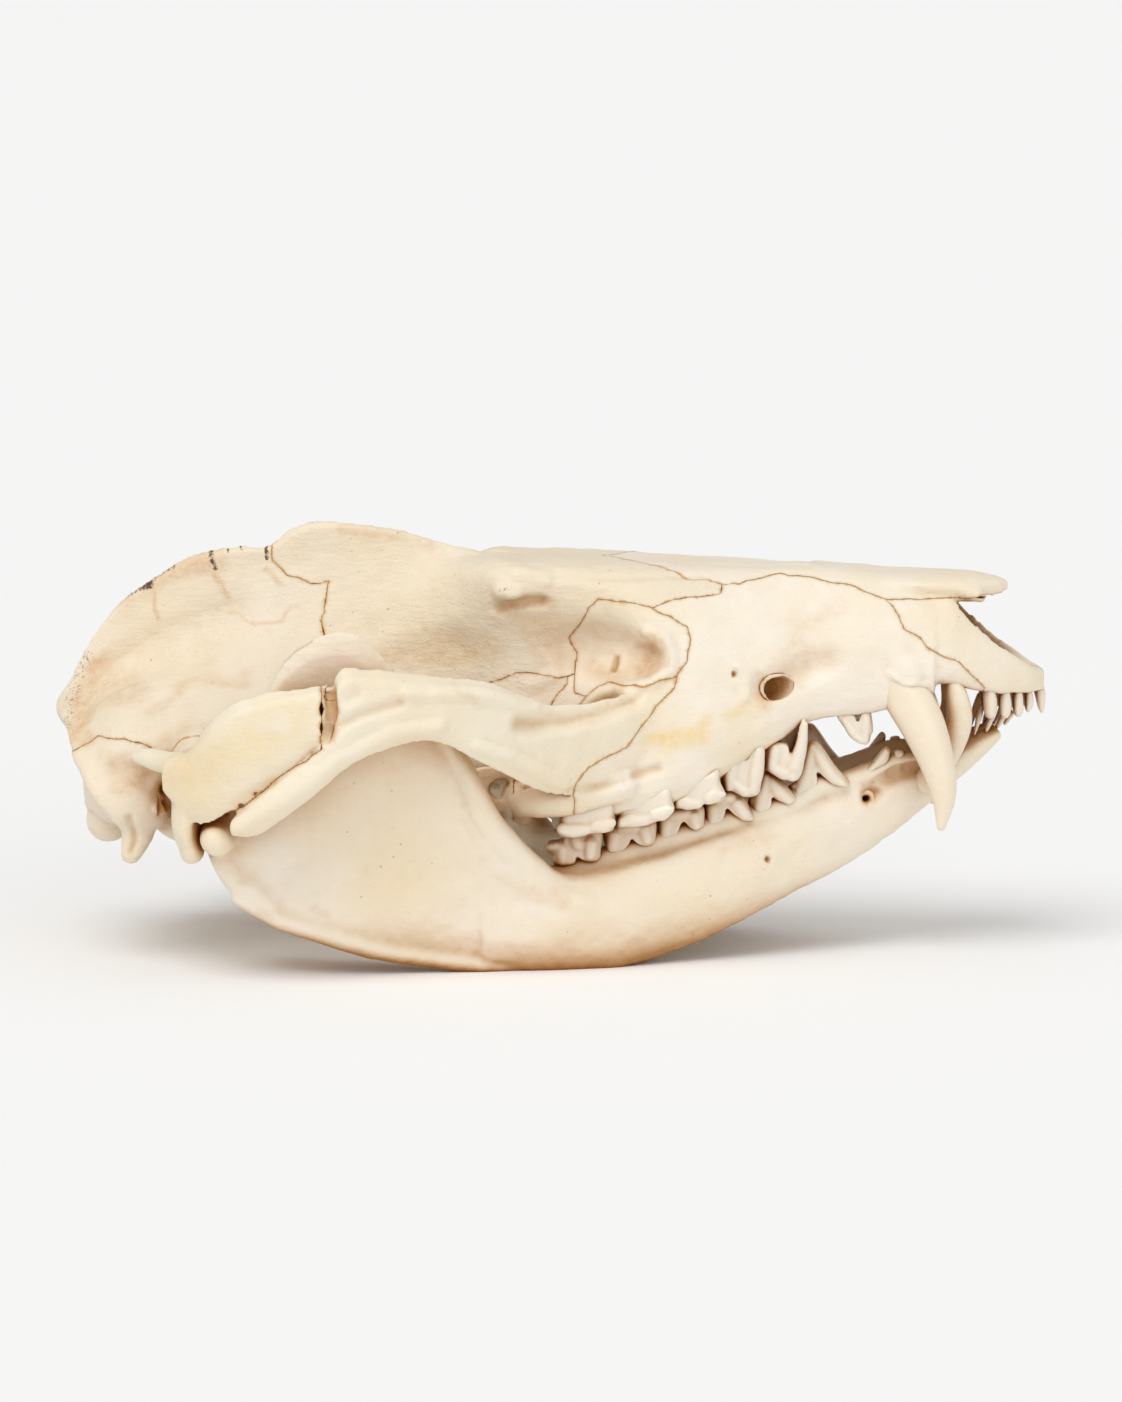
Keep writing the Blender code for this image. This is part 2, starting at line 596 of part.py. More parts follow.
def build_cranium():
    body = body_form("Body", BODY, 44)
    for orbit in both_sides(ball("Orbit", *ORBIT)):
        cut(body, orbit, "DIFFERENCE")
    cut(body, ball("Foramen", *FORAMEN_MAGNUM), "DIFFERENCE")
    muzzle = body_form("Muzzle", MUZZLE, 16)
    for form in (body, muzzle):
        cut(form, body_form("Hollow", NOSE_HOLLOW, 16), "DIFFERENCE")
    crest = crest_plate()
    forms = [body, muzzle, crest, nose_roof()]
    forms += both_sides(tube("Nuchal", NUCHAL_EDGE, (NUCHAL_RADIUS,) * len(NUCHAL_EDGE), 20))
    forms += both_sides(plate("NuchalFlank", NUCHAL_EDGE[1:], nuchal_foot(), 2.6, 14))
    forms += both_sides(ball("Condyle", *CONDYLE))
    forms += both_sides(ball("Mastoid", *MASTOID))
    forms += both_sides(ball("Ear", *EAR_CAPSULE))
    forms += both_sides(tube("Paroccipital", PAROCCIPITAL, PAROCCIPITAL_RADII, 8))
    forms += both_sides(plate("Squamosal", SQUAMOSAL_TOP, SQUAMOSAL_FOOT, SQUAMOSAL_THICKNESS))
    forms += both_sides(tube("Spine", SPINE, SPINE_RADII, 8))
    forms += both_sides(tube("Glenoid", GLENOID_ROOT, GLENOID_RADII, 10))
    forms += both_sides(tube("Postglenoid", POSTGLENOID, POSTGLENOID_RADII, 8))
    forms += both_sides(tube("PalateEdge", PALATE_EDGE, PALATE_EDGE_RADII, 10))
    forms += both_sides(tube("Tuberosity", TUBEROSITY, TUBEROSITY_RADII, 10))
    forms += both_sides(plate("Jugal", JUGAL_TOP, JUGAL_FOOT, JUGAL_THICKNESS, 36))
    return grow_together("Cranium", forms, CRANIUM_TRIANGLES)


def crest_plate():
    edge = [(x, 0.0, z) for x, z in CREST_EDGE]
    foot = [(x, 0.0, z) for x, z in CREST_FOOT]
    upper = curve_through(edge, 48)
    lower = curve_through(foot, 48)
    sections = []
    for top, low in zip(upper, lower):
        near = []
        for share in (0.0, 0.35, 0.7, 0.93, 1.0):
            point = low + (top - low) * share
            thick = CREST_THICKNESS + (CREST_FOOT_THICKNESS - CREST_THICKNESS) * (1 - share) ** 2
            if share == 1.0:
                thick *= 0.5
            near.append((point[0], thick / 2, point[2]))
        sections.append(near + [(x, -y, z) for x, y, z in reversed(near)])
    return solid("Crest", sections)


def nuchal_foot():
    """Where the crest across the back of the head grows out of the braincase, inside its skin."""
    return [(x + 4.0, y * 0.62, z - 1.0) for x, y, z in NUCHAL_EDGE[1:]]


def nose_roof():
    sections = []
    for x, half, height, thick in curve_through(NOSE_ROOF, 16):
        arch = [(x, half * math.sin(turn), height - half * 0.32 * (1 - math.cos(turn)))
                for turn in np.linspace(-math.pi / 2, math.pi / 2, 9)]
        under = [(px, py * 0.82, pz - thick) for px, py, pz in reversed(arch)]
        sections.append(arch + under)
    return solid("NoseRoof", sections)


def build_jaw(side_name):
    """One half of the lower jaw, on the right side of the animal."""
    forms = [
        plate("JawBody", JAW_TOP, JAW_FOOT, JAW_THICKNESS, 40),
        plate("Ramus", RAMUS_TOP, RAMUS_FOOT, RAMUS_THICKNESS, 40),
        plate("Angle", ANGLE_OUTER, ANGLE_INNER, ANGLE_THICKNESS, 16),
        tube("Rim", RAMUS_FOOT[1:], (RIM_RADIUS,) * (len(RAMUS_FOOT) - 1), 30),
        tube("Hinge", JAW_HINGE, JAW_HINGE_RADII, 10),
        tube("Neck", ((-42.0, 24.5, 18.0), (-40.0, 25.2, 13.0), (-36.0, 25.4, 9.0)), (2.4, 2.0, 1.7), 8),
        tube("FrontEdge", RAMUS_TOP[5:], (1.1, 1.3, 1.5, 1.8, 2.2, 2.6), 20),
    ]
    jaw = grow_together(side_name, forms, JAW_TRIANGLES)
    cut(jaw, box("Ground", (-FAR, -FAR, -FAR), (FAR, FAR, 0.0)), "DIFFERENCE")
    cut(jaw, box("Chin", (-FAR, -FAR, -FAR), (FAR, GAP / 2, FAR)), "DIFFERENCE")
    keep_largest(jaw)
    return jaw


def tooth(row):
    """A small crown with a narrow neck, a wider waist, and one cusp or two at its free end."""
    x, y, base, tip, length, breadth, cusps = row
    rise = tip - base
    outline = [(1.0, 0.0), (0.5, 1.0), (-0.5, 1.0), (-1.0, 0.0), (-0.5, -1.0), (0.5, -1.0)]
    levels = ((-0.3, 0.86), (0.25, 1.0)) if cusps == 1 else ((-0.3, 0.9), (0.45, 1.0))
    rings = []
    for share, spread in levels:
        rings.append([(x + a * length / 2 * spread, y + b * breadth / 2 * spread, base + rise * share)
                      for a, b in outline])
    if cusps == 1:
        rings.append([(x + a * length * 0.1, y + b * breadth * 0.14, tip) for a, b in outline])
    else:
        rings.append([(x + a * length * 0.4, y + b * breadth * 0.2, base + rise * (0.72 + 0.28 * abs(a)))
                      for a, b in outline])
    return solid("Tooth", rings)


def tooth_row(rows, side):
    """The crowns of one side, fused in one object where they touch."""
    crowns = [tooth(row) for row in rows]
    whole = crowns[0]
    for crown in crowns[1:]:
        cut(whole, crown, "UNION")
    if side < 0:
        other = mirrored(whole)
        bpy.data.objects.remove(whole, do_unlink=True)
        whole = other
    return whole


def canine(name, points, radii, side, grow=0.0):
    pairs = [(radius + grow, radius * CANINE_FLATNESS + grow) for radius in radii]
    made = tube(name, points, pairs, 9, 8)
    if side < 0:
        other = mirrored(made)
        bpy.data.objects.remove(made, do_unlink=True)
        made = other
        made.name = name
    return made


def finish(obj, name, look):
    keep_largest(obj)
    obj.name = name
    obj.data.name = name
    obj.data.materials.clear()
    obj.data.materials.append(look)
    obj.data.shade_smooth()
    obj.data.set_sharp_from_angle(angle=math.radians(50))


def main():
    clear_scene()
    bone = material("Bone", BONE, 0.55)
    pale = material("Pale bone", PALE_BONE, 0.5)
    warm = material("Warm bone", WARM_BONE, 0.6)
    ivory = material("Ivory", IVORY, 0.3)

    cranium = build_cranium()
    sides = ((-1, "right"), (1, "left"))
    for fossa in both_sides(tube("Fossa", JAW_HINGE, FOSSA_RADII, 10)):
        cut(cranium, fossa, "DIFFERENCE")
    for side, word in sides:
        cut(cranium, canine("Socket", UPPER_CANINE, UPPER_CANINE_RADII, side, GAP), "DIFFERENCE")
        cut(cranium, canine("Notch", LOWER_CANINE, LOWER_CANINE_RADII, side, CANINE_NOTCH), "DIFFERENCE")
        finish(canine("Canine", UPPER_CANINE, UPPER_CANINE_RADII, side), f"canine_upper_{word}", ivory)

    for side, word in sides:
        finish(take_bone(cranium, "Jugal", JUGAL, side), f"jugal_{word}", pale)
        finish(take_bone(cranium, "Squamosal", SQUAMOSAL, side), f"squamosal_{word}", warm)
        finish(take_bone(cranium, "Lacrimal", LACRIMAL, side), f"lacrimal_{word}", pale)
    finish(take_bone(cranium, "Nasal", NASAL, plan=NASAL_PLAN), "nasals", pale)
    for side, word in sides:
        premaxilla = take_bone(cranium, "Premaxilla", PREMAXILLA, side)
        cut(premaxilla, tooth_row(UPPER_TEETH[:5], side), "UNION")
        finish(premaxilla, f"premaxilla_{word}", pale)
    finish(take_bone(cranium, "Occipital", OCCIPITAL), "occipital", bone)
    finish(take_bone(cranium, "Parietal", PARIETAL), "parietal", bone)
    finish(take_bone(cranium, "Frontal", FRONTAL), "frontal", bone)
    for side, word in sides:
        maxilla = take_bone(cranium, "Maxilla", MAXILLA, side)
        cut(maxilla, tooth_row(UPPER_TEETH[5:], side), "UNION")
        finish(maxilla, f"maxilla_{word}", pale)
    finish(cranium, "skull_base", bone)

    for side, word in sides:
        jaw = build_jaw("Jaw")
        if side < 0:
            other = mirrored(jaw)
            bpy.data.objects.remove(jaw, do_unlink=True)
            jaw = other
        cut(jaw, canine("Socket", LOWER_CANINE, LOWER_CANINE_RADII, side, GAP), "DIFFERENCE")
        cut(jaw, tooth_row(LOWER_TEETH, side), "UNION")
        finish(jaw, f"lower_jaw_{word}", pale)
        finish(canine("Canine", LOWER_CANINE, LOWER_CANINE_RADII, side), f"canine_lower_{word}", ivory)


main()
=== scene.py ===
"""An opossum skull as a museum shows it: cleaned bone and grown teeth, the mouth closed.

The bones are fused from simple forms, given their relief, and then parted along their seams.
Tables and lengths inside the script are in millimetres unless a name or a property says otherwise.
"""

import json
import math

import bpy
import numpy as np
from bpy.props import FloatProperty, FloatVectorProperty, IntProperty, PointerProperty
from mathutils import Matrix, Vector
from mathutils.bvhtree import BVHTree

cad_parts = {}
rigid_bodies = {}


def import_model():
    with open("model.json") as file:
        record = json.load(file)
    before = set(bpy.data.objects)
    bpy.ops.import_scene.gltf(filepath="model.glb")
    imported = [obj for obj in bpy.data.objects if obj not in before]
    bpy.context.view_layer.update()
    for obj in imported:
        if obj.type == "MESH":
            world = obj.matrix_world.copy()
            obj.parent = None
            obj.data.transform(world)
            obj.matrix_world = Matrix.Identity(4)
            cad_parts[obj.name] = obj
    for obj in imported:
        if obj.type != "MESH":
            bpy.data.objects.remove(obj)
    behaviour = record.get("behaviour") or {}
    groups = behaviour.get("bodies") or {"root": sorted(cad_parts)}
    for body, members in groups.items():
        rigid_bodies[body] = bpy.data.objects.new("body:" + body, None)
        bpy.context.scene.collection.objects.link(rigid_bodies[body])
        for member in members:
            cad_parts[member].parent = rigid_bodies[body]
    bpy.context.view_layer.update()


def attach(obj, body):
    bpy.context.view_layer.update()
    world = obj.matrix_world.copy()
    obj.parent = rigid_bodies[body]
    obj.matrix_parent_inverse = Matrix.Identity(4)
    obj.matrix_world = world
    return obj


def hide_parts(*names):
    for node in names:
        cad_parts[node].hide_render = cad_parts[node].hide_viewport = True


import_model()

bl_info = {
    "name": "Opossum Skull",
    "version": (1, 0, 0),
    "blender": (4, 5, 0),
    "location": "View3D > Sidebar > Skull",
    "description": "Models a life-size opossum skull bone by bone, with its teeth and a studio floor",
    "category": "Add Mesh",
}

MM = 0.001
FAR = 90.0

# Cranial body, from the back of the head to the nose: station, height of the roof, then
# half-breadth and height of the shoulder, of the side and of the foot, and height of the underside.
BODY = (
    (-60.4, 31.5, 5.0, 30.5, 11.5, 27.0, 10.0, 20.5, 18.5),
    (-57.0, 36.0, 6.5, 34.0, 15.5, 27.5, 13.0, 18.6, 17.0),
    (-50.0, 39.5, 6.8, 36.6, 16.6, 28.0, 13.6, 19.0, 17.2),
    (-42.0, 42.5, 6.2, 39.2, 15.0, 29.5, 11.0, 19.8, 18.0),
    (-34.0, 44.5, 5.2, 41.2, 12.6, 31.5, 9.0, 21.0, 19.0),
    (-26.0, 46.5, 4.2, 43.2, 9.4, 33.5, 6.5, 22.0, 20.0),
    (-18.0, 48.6, 3.8, 46.0, 6.8, 35.5, 5.2, 24.0, 21.5),
    (-12.0, 51.0, 7.0, 49.5, 6.6, 38.0, 6.0, 25.0, 22.5),
    (-6.0, 51.7, 12.2, 49.9, 9.5, 40.0, 10.0, 24.0, 22.5),
    (2.0, 51.6, 11.4, 50.1, 10.5, 39.0, 17.4, 19.8, 22.4),
    (10.0, 51.4, 10.8, 49.8, 14.0, 41.0, 17.7, 20.4, 24.0),
    (18.0, 51.0, 9.0, 49.4, 14.6, 40.0, 15.2, 21.8, 26.4),
    (26.0, 50.6, 7.2, 49.3, 12.9, 40.0, 12.6, 26.2, 29.6),
    (34.0, 50.4, 6.3, 49.2, 10.8, 40.5, 10.3, 31.0, 33.0),
    (42.0, 50.1, 6.2, 48.6, 10.5, 41.0, 9.7, 31.9, 34.8),
    (50.0, 49.0, 6.0, 46.8, 9.8, 41.0, 9.5, 34.6, 36.2),
)
# Fore end of the upper jaw, below the opening of the nose.
MUZZLE = (
    (46.0, 47.0, 5.0, 46.5, 9.6, 41.0, 9.3, 35.5, 37.0),
    (51.5, 47.0, 6.0, 46.6, 9.2, 41.0, 8.6, 35.8, 36.3),
    (55.5, 43.8, 5.6, 43.4, 7.8, 40.0, 7.4, 34.8, 35.6),
    (59.0, 40.4, 4.8, 40.0, 6.4, 37.8, 6.2, 34.0, 34.8),
    (62.5, 37.7, 3.4, 37.4, 4.6, 36.0, 4.4, 33.8, 34.0),
    (64.8, 36.3, 1.5, 36.1, 2.4, 35.4, 2.2, 34.0, 33.9),
)
NOSE_HOLLOW = (
    (34.0, 45.5, 1.5, 45.3, 2.6, 43.5, 1.5, 42.0, 41.8),
    (42.0, 47.4, 3.2, 46.8, 5.4, 43.5, 3.6, 40.4, 40.0),
    (50.0, 47.6, 4.6, 46.8, 6.8, 43.0, 5.0, 39.2, 38.6),
    (57.0, 46.8, 5.0, 46.4, 5.6, 42.5, 4.4, 38.0, 37.4),
    (62.0, 46.4, 4.4, 46.0, 4.6, 42.0, 2.8, 37.4, 36.9),
    (68.0, 46.2, 4.0, 46.0, 4.2, 42.0, 2.2, 37.2, 36.8),
)
# Nose roof: station, half-breadth, height along the middle, thickness.
NOSE_ROOF = (
    (40.0, 6.3, 50.1, 3.0), (50.0, 6.4, 49.7, 2.2), (55.0, 5.4, 49.3, 1.6), (58.0, 3.4, 48.7, 1.2),
    (59.8, 1.0, 48.0, 0.8),
)
# Lobe that hangs from each side of the nose roof near its tip.
NOSE_LOBE = ((53.6, 4.9, 47.6), (55.6, 4.9, 46.9), (56.3, 4.7, 46.4))
NOSE_LOBE_RADII = (0.9, 0.8, 0.5)

# Edge of the crest along the middle of the roof, from the back of the head to the brow.
CREST_EDGE = (
    (-64.7, 31.6),
    (-63.8, 34.8),
    (-62.3, 38.5),
    (-57.0, 44.8),
    (-51.7, 48.6),
    (-46.5, 51.6),
    (-41.0, 52.8),
    (-37.0, 52.9),
    (-33.4, 55.3),
    (-28.2, 56.0),
    (-17.7, 54.6),
    (-9.0, 52.3),
)
CREST_FOOT = ((-63.0, 28.0), (-57.0, 34.0), (-45.0, 40.0), (-30.0, 43.0), (-18.0, 45.5), (-9.0, 48.0))
CREST_THICKNESS = 1.3
CREST_FOOT_THICKNESS = 9.0
# Crest across the back of the head: station, half-breadth, height.
NUCHAL_EDGE = (
    (-64.0, 0.0, 32.0),
    (-63.4, 4.5, 31.0),
    (-62.0, 9.5, 28.6),
    (-60.2, 13.6, 25.6),
    (-58.2, 16.2, 22.4),
    (-55.6, 17.2, 19.4),
)
NUCHAL_RADIUS = 1.0
# Fills the corner between the two crests: centre, then radii.
NUCHAL_FILL = ((-61.6, 2.8, 30.8), (2.6, 3.2, 1.7))

# Lumps at the back of the head: centre, then radii along the three axes.
CONDYLE = ((-57.4, 7.2, 17.6), (3.0, 3.0, 3.0))
MASTOID = ((-53.2, 15.4, 21.6), (4.6, 3.0, 4.6))
EAR_CAPSULE = ((-47.0, 11.5, 18.6), (4.5, 3.6, 3.0))
PAROCCIPITAL = ((-52.9, 15.0, 20.4), (-53.4, 15.6, 17.0), (-54.3, 15.8, 14.2))
PAROCCIPITAL_RADII = ((2.6, 1.5), (2.2, 1.2), (1.35, 1.0))
FORAMEN_MAGNUM = ((-63.0, 0.0, 22.5), (8.0, 4.6, 3.9))

# Cheek arch. A rail is a row of (station, half-breadth, height).
SQUAMOSAL_TOP = (
    (-48.5, 27.5, 29.0),
    (-45.8, 30.0, 30.4),
    (-42.0, 32.3, 35.3),
    (-37.0, 33.4, 37.8),
    (-28.0, 33.4, 39.4),
)
SQUAMOSAL_FOOT = (
    (-49.0, 26.5, 24.0),
    (-45.0, 29.5, 20.5),
    (-41.0, 32.0, 21.8),
    (-37.0, 33.2, 25.2),
    (-28.0, 33.2, 31.4),
)
SQUAMOSAL_THICKNESS = 2.8
SPINE = ((-53.4, 19.4, 27.6), (-51.0, 21.2, 27.6), (-48.5, 23.8, 27.4), (-45.5, 27.5, 27.0))
SPINE_RADII = (1.1, 1.3, 1.6, 2.2)
GLENOID_ROOT = ((-45.5, 12.0, 26.0), (-45.0, 20.0, 24.4), (-43.5, 29.0, 24.4))
GLENOID_RADII = (5.0, 3.4, 3.2)
POSTGLENOID = ((-46.0, 25.6, 24.5), (-46.4, 25.6, 19.5), (-45.8, 25.6, 16.3))
POSTGLENOID_RADII = ((2.6, 4.4), (2.05, 4.2), (1.65, 3.0))
# Rear edge of the palate, across the head, and the swelling behind the last upper tooth.
# Wing of the palate beside the inner nostrils: outline in side view, half-breadths and hole.
PALATE_WING = (
    (-3.0, 24.5), (-9.6, 25.0), (-9.0, 21.5), (-8.4, 18.9), (-6.0, 18.9), (-4.2, 19.3), (-2.6, 20.5)
)
PALATE_WING_SIDES = (11.0, 11.9)
PALATE_HOLE = ((-6.1, 12.0, 22.2), (1.65, 4.0, 1.3))
PALATE_EDGE = ((-4.6, 0.0, 21.6), (-4.8, 8.0, 20.8), (-3.4, 15.5, 20.4))
PALATE_EDGE_RADII = ((2.6, 1.4), (2.8, 1.5), (2.4, 1.6))
TUBEROSITY = ((-3.6, 17.6, 21.4), (2.0, 18.6, 22.2), (9.0, 17.6, 24.0))
TUBEROSITY_RADII = (1.8, 2.4, 2.6)
JUGAL_TOP = (
    (-40.3, 33.0, 21.8),
    (-37.0, 33.4, 25.0),
    (-28.6, 33.6, 32.0),
    (-27.0, 33.4, 40.2),
    (-23.0, 32.6, 40.9),
    (-16.0, 30.8, 39.8),
    (-7.5, 28.0, 38.6),
    (-3.0, 25.6, 36.5),
    (1.0, 23.2, 35.5),
    (6.5, 19.6, 35.7),
    (12.5, 15.2, 36.4),
    (18.5, 11.6, 36.8),
)
JUGAL_FOOT = (
    (-40.3, 33.0, 19.6),
    (-37.0, 33.4, 19.7),
    (-30.5, 33.6, 24.4),
    (-26.4, 33.2, 27.8),
    (-22.5, 32.4, 29.9),
    (-15.2, 30.6, 31.4),
    (-9.5, 28.4, 28.4),
    (-4.2, 25.2, 25.4),
    (0.3, 22.2, 23.4),
    (5.5, 19.6, 22.8),
    (12.0, 16.2, 24.6),
    (18.5, 12.4, 26.6),
)
JUGAL_THICKNESS = ((-40.0, 3.0), (-10.0, 3.4), (4.0, 3.6), (12.0, 3.0), (18.5, 1.4))
ORBIT = ((3.5, 20.5, 41.0), (11.5, 11.5, 6.6))
ORBIT_PIT = ((9.2, 16.4, 40.0), (5.9, 5.4, 3.3))
# Canals that open in the cheek and beside the chin: each runs out of the bone, forward and outward.
CHEEK_CANAL = ((22.0, 9.2, 34.6), (27.4, 11.2, 35.3), (30.2, 12.4, 35.7), (33.0, 14.2, 36.2))
CHEEK_CANAL_RADII = (1.2, 1.35, 1.2, 1.0)
CHIN_CANAL = ((40.8, 3.6, 19.9), (42.0, 12.0, 20.9))
CHIN_CANAL_RADII = (0.6, 0.6)

# Lower jaw, right side. Rails as above.
JAW_TOP = (
    (-9.0, 19.5, 15.0),
    (-2.0, 17.5, 12.6),
    (6.5, 15.2, 13.0),
    (16.0, 12.2, 15.4),
    (24.0, 9.8, 17.6),
    (32.0, 7.6, 19.4),
    (39.0, 6.2, 22.2),
    (46.0, 5.0, 24.8),
    (53.0, 4.6, 27.0),
    (58.5, 2.6, 29.4),
)
JAW_FOOT = (
    (-9.0, 20.8, 0.7),
    (-0.6, 19.4, -0.6),
    (8.0, 17.0, -0.4),
    (16.0, 13.6, 1.2),
    (24.0, 10.4, 4.6),
    (32.0, 7.0, 8.2),
    (40.0, 4.4, 12.2),
    (46.5, 3.2, 16.8),
    (53.4, 2.6, 22.8),
    (58.6, 2.0, 27.6),
)
JAW_THICKNESS = ((-9.0, 4.2), (0.0, 6.4), (12.0, 6.6), (30.0, 5.2), (46.0, 4.6), (58.0, 3.0))
RAMUS_TOP = (
    (-41.0, 25.5, 23.0),
    (-37.6, 25.0, 33.0),
    (-34.0, 24.8, 41.0),
    (-30.0, 24.6, 44.4),
    (-26.5, 24.5, 45.0),
    (-22.0, 24.4, 42.2),
    (-17.0, 24.0, 36.2),
    (-12.0, 22.8, 28.4),
    (-8.0, 21.8, 19.8),
    (-3.0, 19.4, 13.4),
    (2.0, 17.4, 9.0),
)
RAMUS_FOOT = (
    (-42.6, 25.6, 15.0),
    (-39.6, 25.8, 10.4),
    (-35.1, 25.4, 7.6),
    (-30.6, 24.8, 5.8),
    (-26.5, 24.2, 4.3),
    (-22.0, 23.4, 2.9),
    (-17.0, 22.4, 1.9),
    (-12.0, 21.4, 1.1),
    (-8.0, 20.7, 0.7),
    (-3.0, 19.6, 0.6),
    (2.0, 18.0, 2.0),
)
RAMUS_THICKNESS = 2.0
RIM_RADIUS = 1.2
TOOTH_LEDGE = (
    (-2.0, 15.6, 11.0), (3.7, 14.0, 12.0), (10.7, 12.5, 14.2), (17.4, 10.9, 16.1), (23.2, 9.3, 17.7),
    (29.2, 7.7, 18.9),
    (34.8, 6.9, 21.9), (39.0, 6.3, 22.5), (44.7, 5.6, 24.9), (48.5, 5.2, 25.6),
)
TOOTH_LEDGE_RADII = (1.6, 1.9, 1.9, 1.9, 1.9, 1.9, 1.6, 1.5, 1.4, 1.2)
JAW_NECK = ((-42.0, 24.5, 18.0), (-40.0, 25.2, 13.0), (-36.0, 25.4, 9.0))
JAW_NECK_RADII = (2.4, 2.0, 1.7)
JAW_HINGE = ((-42.2, 18.2, 18.6), (-42.4, 24.0, 18.8), (-42.4, 30.0, 18.6))
JAW_HINGE_RADII = (1.8, 2.6, 2.2)
ANGLE_OUTER = ((-13.0, 20.6, 2.4), (-24.0, 23.2, 4.6), (-34.0, 24.6, 8.2), (-41.0, 23.0, 12.6))
ANGLE_INNER = ((-13.0, 17.0, 3.2), (-24.0, 15.6, 5.0), (-34.0, 14.0, 7.8), (-41.0, 12.4, 10.6))
ANGLE_THICKNESS = 1.8

# Teeth of the right side. A tooth is the half-breadth of its outer face, its breadth, its outline in
# side view, and bars of (station, height, radius) that swell from its outer face.
UPPER_INCISORS = (
    (6.6, 2.0, (
        (56.8, 35.9), (56.5, 34.2), (56.6, 31.9), (56.9, 30.9), (57.7, 30.7), (58.2, 31.3),
        (58.4, 32.8), (58.2, 34.2), (58.0, 35.9),
    ), (
        ((57.4, 35.5, 0.54), (57.5, 32.3, 0.71), (57.5, 31.5, 0.54)),
    )),
    (5.7, 2.0, (
        (58.9, 35.2), (58.6, 33.7), (58.6, 31.8), (59.0, 30.8), (59.7, 30.6), (60.2, 31.4),
        (60.3, 32.6), (60.1, 34.0), (59.9, 35.2),
    ), (
        ((59.5, 34.7, 0.42), (59.5, 32.2, 0.63), (59.4, 31.4, 0.50)),
    )),
    (4.6, 1.9, (
        (60.8, 35.0), (60.4, 33.5), (60.5, 31.6), (60.8, 30.8), (61.4, 30.6), (61.9, 31.3),
        (61.9, 32.5), (61.8, 33.7), (61.5, 35.0),
    ), (
        ((61.2, 34.6, 0.38), (61.2, 32.1, 0.56), (61.2, 31.3, 0.42)),
    )),
    (3.3, 1.7, (
        (62.2, 35.2), (62.1, 33.3), (62.1, 31.9), (62.4, 31.1), (62.8, 31.1), (63.2, 31.9),
        (63.3, 32.9), (63.0, 34.2), (62.9, 35.2),
    ), (
        ((62.6, 34.4, 0.38), (62.7, 32.5, 0.46), (62.6, 31.7, 0.38)),
    )),
    (1.7, 1.6, (
        (63.1, 36.1), (63.3, 34.2), (63.7, 32.7), (64.0, 31.4), (64.4, 30.7), (64.7, 30.9),
        (64.9, 31.9), (65.0, 33.3), (64.7, 34.6), (64.2, 36.1),
    ), (
        ((63.9, 34.4, 0.50), (64.3, 32.7, 0.50), (64.5, 31.4, 0.29)),
    )),
)
